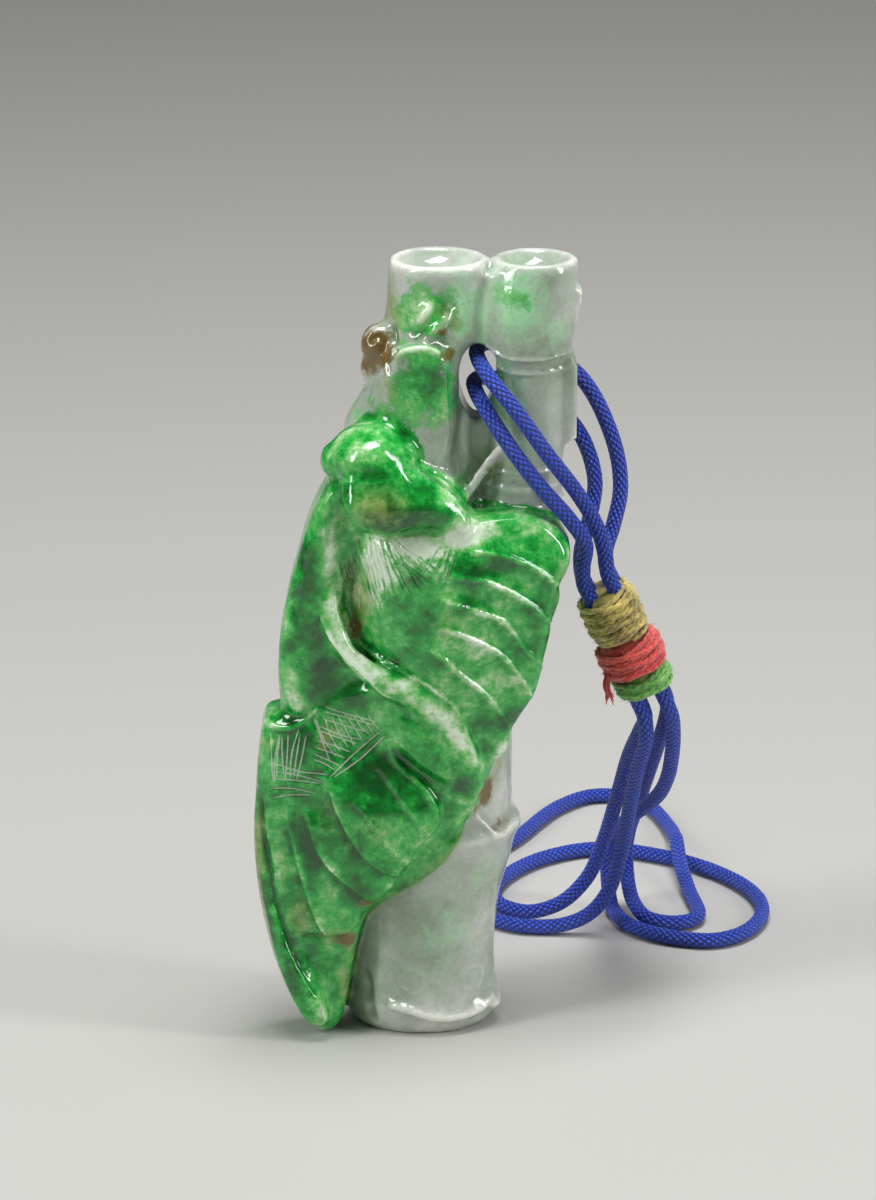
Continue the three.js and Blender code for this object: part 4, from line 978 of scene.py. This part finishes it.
for outline, back in BAT_OUTLINES:
    inside = inside_distance(smooth_through(outline, 3, closed=True), x, y)
    bat = np.maximum(bat, np.clip((inside + 0.5) / 0.5, 0, 1) * np.clip((z - back + 0.6) / 0.8, 0, 1))
zones = {name: np.zeros(count) for name in PATCHES}
zones["frosted"] = frosted
# Painted light: sharp outward edges are made paler for a glow and hollows darker for shade.
zones["edge"] = np.clip((turning - 0.5) / 2.0, 0, 1)
zones["hollow"] = np.clip((-turning - 0.5) / 2.0, 0, 1)
for name, patches in PATCHES.items():
    for px, py, rx, ry, strength in patches:
        patch = strength * np.exp(-(((x - px) / rx) ** 2 + ((y - py) / ry) ** 2))
        zones[name] = np.maximum(zones[name], patch * np.clip((z + 4) / 4, 0, 1))
for name, line, half_width, strength in LINES:
    along_line = strength * np.exp(-((near_line(line, x, y)[0] / half_width) ** 2))
    zones[name] = np.maximum(zones[name], along_line * np.clip((z - 1) / 2, 0, 1))
zones["green"] = np.maximum(zones["green"], 1.6 * bat)
for name, values in zones.items():
    stone_mesh.attributes.new(name, "FLOAT", "POINT").data.foreach_set("value", values.astype(np.float32))

# Jadeite: interlocking grains a fraction of a millimetre across under a glassy polish. Light goes a little way in,
# so thin edges glow, and the colour also has that glow painted onto sharp edges, with painted shade in hollows. The
# green lies in clouds through the white, from pale apple to deep emerald within a millimetre or two.
jade, tree, shader = material_named("polished jadeite")
place = add(tree, "TexCoord").outputs["Object"]
clouds = add(
    tree, "TexNoise", {"Vector": place, "Scale": 260.0, "Detail": 6.0, "Roughness": 0.66, "Distortion": 0.5}
).outputs["Fac"]
mottle = add(tree, "TexNoise", {"Vector": place, "Scale": 780.0, "Detail": 4.0, "Roughness": 0.7}).outputs["Fac"]
grains = add(tree, "TexVoronoi", {"Vector": place, "Scale": 2400.0})
attribute = {
    name: add(tree, "Attribute", attribute_name=name).outputs["Fac"]
    for name in ("deep", "pale_cloud_and_highlight", "mint", "olive", "russet", "green", "frosted", "edge", "hollow")
}
both = add(tree, "Math", {0: clouds, 1: 1.05, 2: -0.525}, operation="MULTIPLY_ADD").outputs[0]
small = add(tree, "Math", {0: mottle, 1: 0.9, 2: -0.45}, operation="MULTIPLY_ADD").outputs[0]
wander = add(tree, "Math", {0: both, 1: small}, operation="ADD").outputs[0]
lighter = add(tree, "Math", {0: attribute["pale_cloud_and_highlight"], 1: attribute["deep"]}, operation="SUBTRACT").outputs[0]
# The painted edge glow less the painted hollow shade, which lightens and darkens both the green and the white.
turned = add(tree, "Math", {0: attribute["edge"], 1: attribute["hollow"]}, operation="SUBTRACT").outputs[0]
patched = add(tree, "Math", {0: lighter, 1: 0.3, 2: wander}, operation="MULTIPLY_ADD").outputs[0]
tone = add(tree, "Math", {0: turned, 1: 0.22, 2: patched}, operation="MULTIPLY_ADD").outputs[0]

emerald = add(tree, "ValToRGB", {0: add(tree, "MapRange", {0: tone, 1: -0.3, 2: 0.41}).outputs[0]})
stops = [
    (0.0, "#065419"), (0.2, "#087322"), (0.36, "#119233"), (0.5, "#33a947"), (0.64, "#63b75f"),
    (0.8, "#9ccc90"), (1.0, "#d8e8d0"),
]
while len(emerald.color_ramp.elements) < len(stops):
    emerald.color_ramp.elements.new(0.5)
for element, (position, shade) in zip(emerald.color_ramp.elements, stops):
    element.position = position
    element.color = colour(shade)

veils = add(tree, "TexNoise", {"Vector": place, "Scale": 130.0, "Detail": 3.0, "Roughness": 0.5}).outputs["Fac"]
# The white also gets the painted edge glow and hollow shade.
milky = add(tree, "Math", {0: turned, 1: 0.22, 2: veils}, operation="MULTIPLY_ADD").outputs[0]
milkier = add(tree, "Math", {0: mottle, 1: 0.16, 2: milky}, operation="MULTIPLY_ADD").outputs[0]
water = add(tree, "ValToRGB", {0: add(tree, "MapRange", {0: milkier, 1: 0.38, 2: 0.84}).outputs[0]})
pale_stops = [(0.0, "#87977f"), (0.3, "#a0ad9c"), (0.6, "#bbc1b8"), (1.0, "#e4e4dd")]
while len(water.color_ramp.elements) < len(pale_stops):
    water.color_ramp.elements.new(0.5)
for element, (position, shade) in zip(water.color_ramp.elements, pale_stops):
    element.position = position
    element.color = colour(shade)

brownish = add(tree, "MapRange", {0: small, 1: -0.15, 2: 0.15}).outputs[0]
olive = add(tree, "Mix", {0: brownish, 6: colour("#66742f"), 7: colour("#9aa86a")}, data_type="RGBA").outputs[2]

body = water.outputs[0]
layers = [
    ("mint", 0.2, 1.4, 1.4, colour("#a2dca8")), ("green", 0.3, 0.8, 2.0, emerald.outputs[0]),
    ("olive", 0.45, 1.7, 1.6, olive), ("russet", 0.5, 1.05, 1.8, colour("#6f5c2e")),
    ("frosted", 0.1, 1.1, 0.5, colour("#d4e8cc")),
]
for name, low, high, sway, shade in layers:
    moved = add(tree, "Math", {0: wander, 1: sway, 2: attribute[name]}, operation="MULTIPLY_ADD").outputs[0]
    share = add(tree, "MapRange", {0: moved, 1: low, 2: high}, interpolation_type="SMOOTHSTEP").outputs[0]
    body = add(tree, "Mix", {0: share, 6: body, 7: shade}, data_type="RGBA").outputs[2]
grain_depth = add(tree, "Math", {0: grains.outputs["Distance"], 1: 0.16, 2: 0.93}, operation="MULTIPLY_ADD")
body = add(tree, "HueSaturation", {"Color": body, "Value": grain_depth.outputs[0]}).outputs[0]
pits = add(tree, "TexNoise", {"Vector": place, "Scale": 2600.0, "Detail": 2.0})
waves = add(tree, "TexNoise", {"Vector": place, "Scale": 420.0, "Detail": 2.0})
tooled = add(tree, "Bump", {"Height": waves.outputs["Fac"], "Strength": 0.25, "Distance": 0.0004})
pitted = add(
    tree, "Bump",
    {"Height": pits.outputs["Fac"], "Strength": 0.12, "Distance": 0.00008, "Normal": tooled.outputs[0]},
)
gloss = add(tree, "MapRange", {0: pits.outputs["Fac"], 1: 0.3, 2: 0.75, 3: 0.07, 4: 0.18})
dull = add(tree, "Math", {0: attribute["frosted"], 1: 0.45, 2: gloss.outputs[0]}, operation="MULTIPLY_ADD")
tree.links.new(body, shader.inputs["Base Color"])
tree.links.new(dull.outputs[0], shader.inputs["Roughness"])
tree.links.new(pitted.outputs[0], shader.inputs["Normal"])
shader.inputs["IOR"].default_value = 1.66
shader.inputs["Subsurface Weight"].default_value = 0.3
shader.inputs["Subsurface Radius"].default_value = (0.7, 1.0, 0.6)
shader.inputs["Subsurface Scale"].default_value = 0.0009

stone_mesh.transform(STAND_UP)
stone_mesh.shade_smooth()
stone_mesh.materials.append(jade)
stone_mesh.name = "carved_jadeite"
stone = bpy.data.objects.new("carved_jadeite", stone_mesh)
bpy.context.scene.collection.objects.link(stone)
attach(stone, "root")
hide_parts("jadeite_carving")
print("stone faces", len(stone_mesh.polygons), "triangles", sum(p.loop_total - 2 for p in stone_mesh.polygons))

# A plain pale table, and soft boxes overhead, to the left and to the right.
floor_bm = bmesh.new()
bmesh.ops.create_grid(floor_bm, x_segments=1, y_segments=1, size=2.5)
floor_mesh = bpy.data.meshes.new("floor")
floor_bm.to_mesh(floor_mesh)
floor_bm.free()
paper, tree, shader = material_named("pale paper")
shader.inputs["Base Color"].default_value = colour("#bcbbb7")
shader.inputs["Roughness"].default_value = 0.6
floor_mesh.materials.append(paper)
floor = bpy.data.objects.new("floor", floor_mesh)
bpy.context.scene.collection.objects.link(floor)


def soft_box(name, place, size, power, tint="#ffffff"):
    light_data = bpy.data.lights.new(name, "AREA")
    light_data.shape = "RECTANGLE"
    light_data.size, light_data.size_y = size
    light_data.energy = power
    light_data.color = colour(tint)[:3]
    box = bpy.data.objects.new(name, light_data)
    bpy.context.scene.collection.objects.link(box)
    box.location = place
    box.rotation_euler = (Vector(place) - Vector((0, 0, 0.035))).to_track_quat("Z", "Y").to_euler()


soft_box("overhead", (0.02, -0.02, 0.5), (0.3, 0.2), 2.3)
soft_box("left", (-0.38, -0.22, 0.28), (0.1, 0.35), 1.3)
soft_box("right", (0.42, -0.12, 0.22), (0.08, 0.3), 1.1)

world = bpy.data.worlds.new("world")
bpy.context.scene.world = world
world.use_nodes = True
world.node_tree.nodes["Background"].inputs[0].default_value = colour("#eef0f2")
world.node_tree.nodes["Background"].inputs[1].default_value = 0.13
bpy.context.scene.view_settings.view_transform = "Standard"
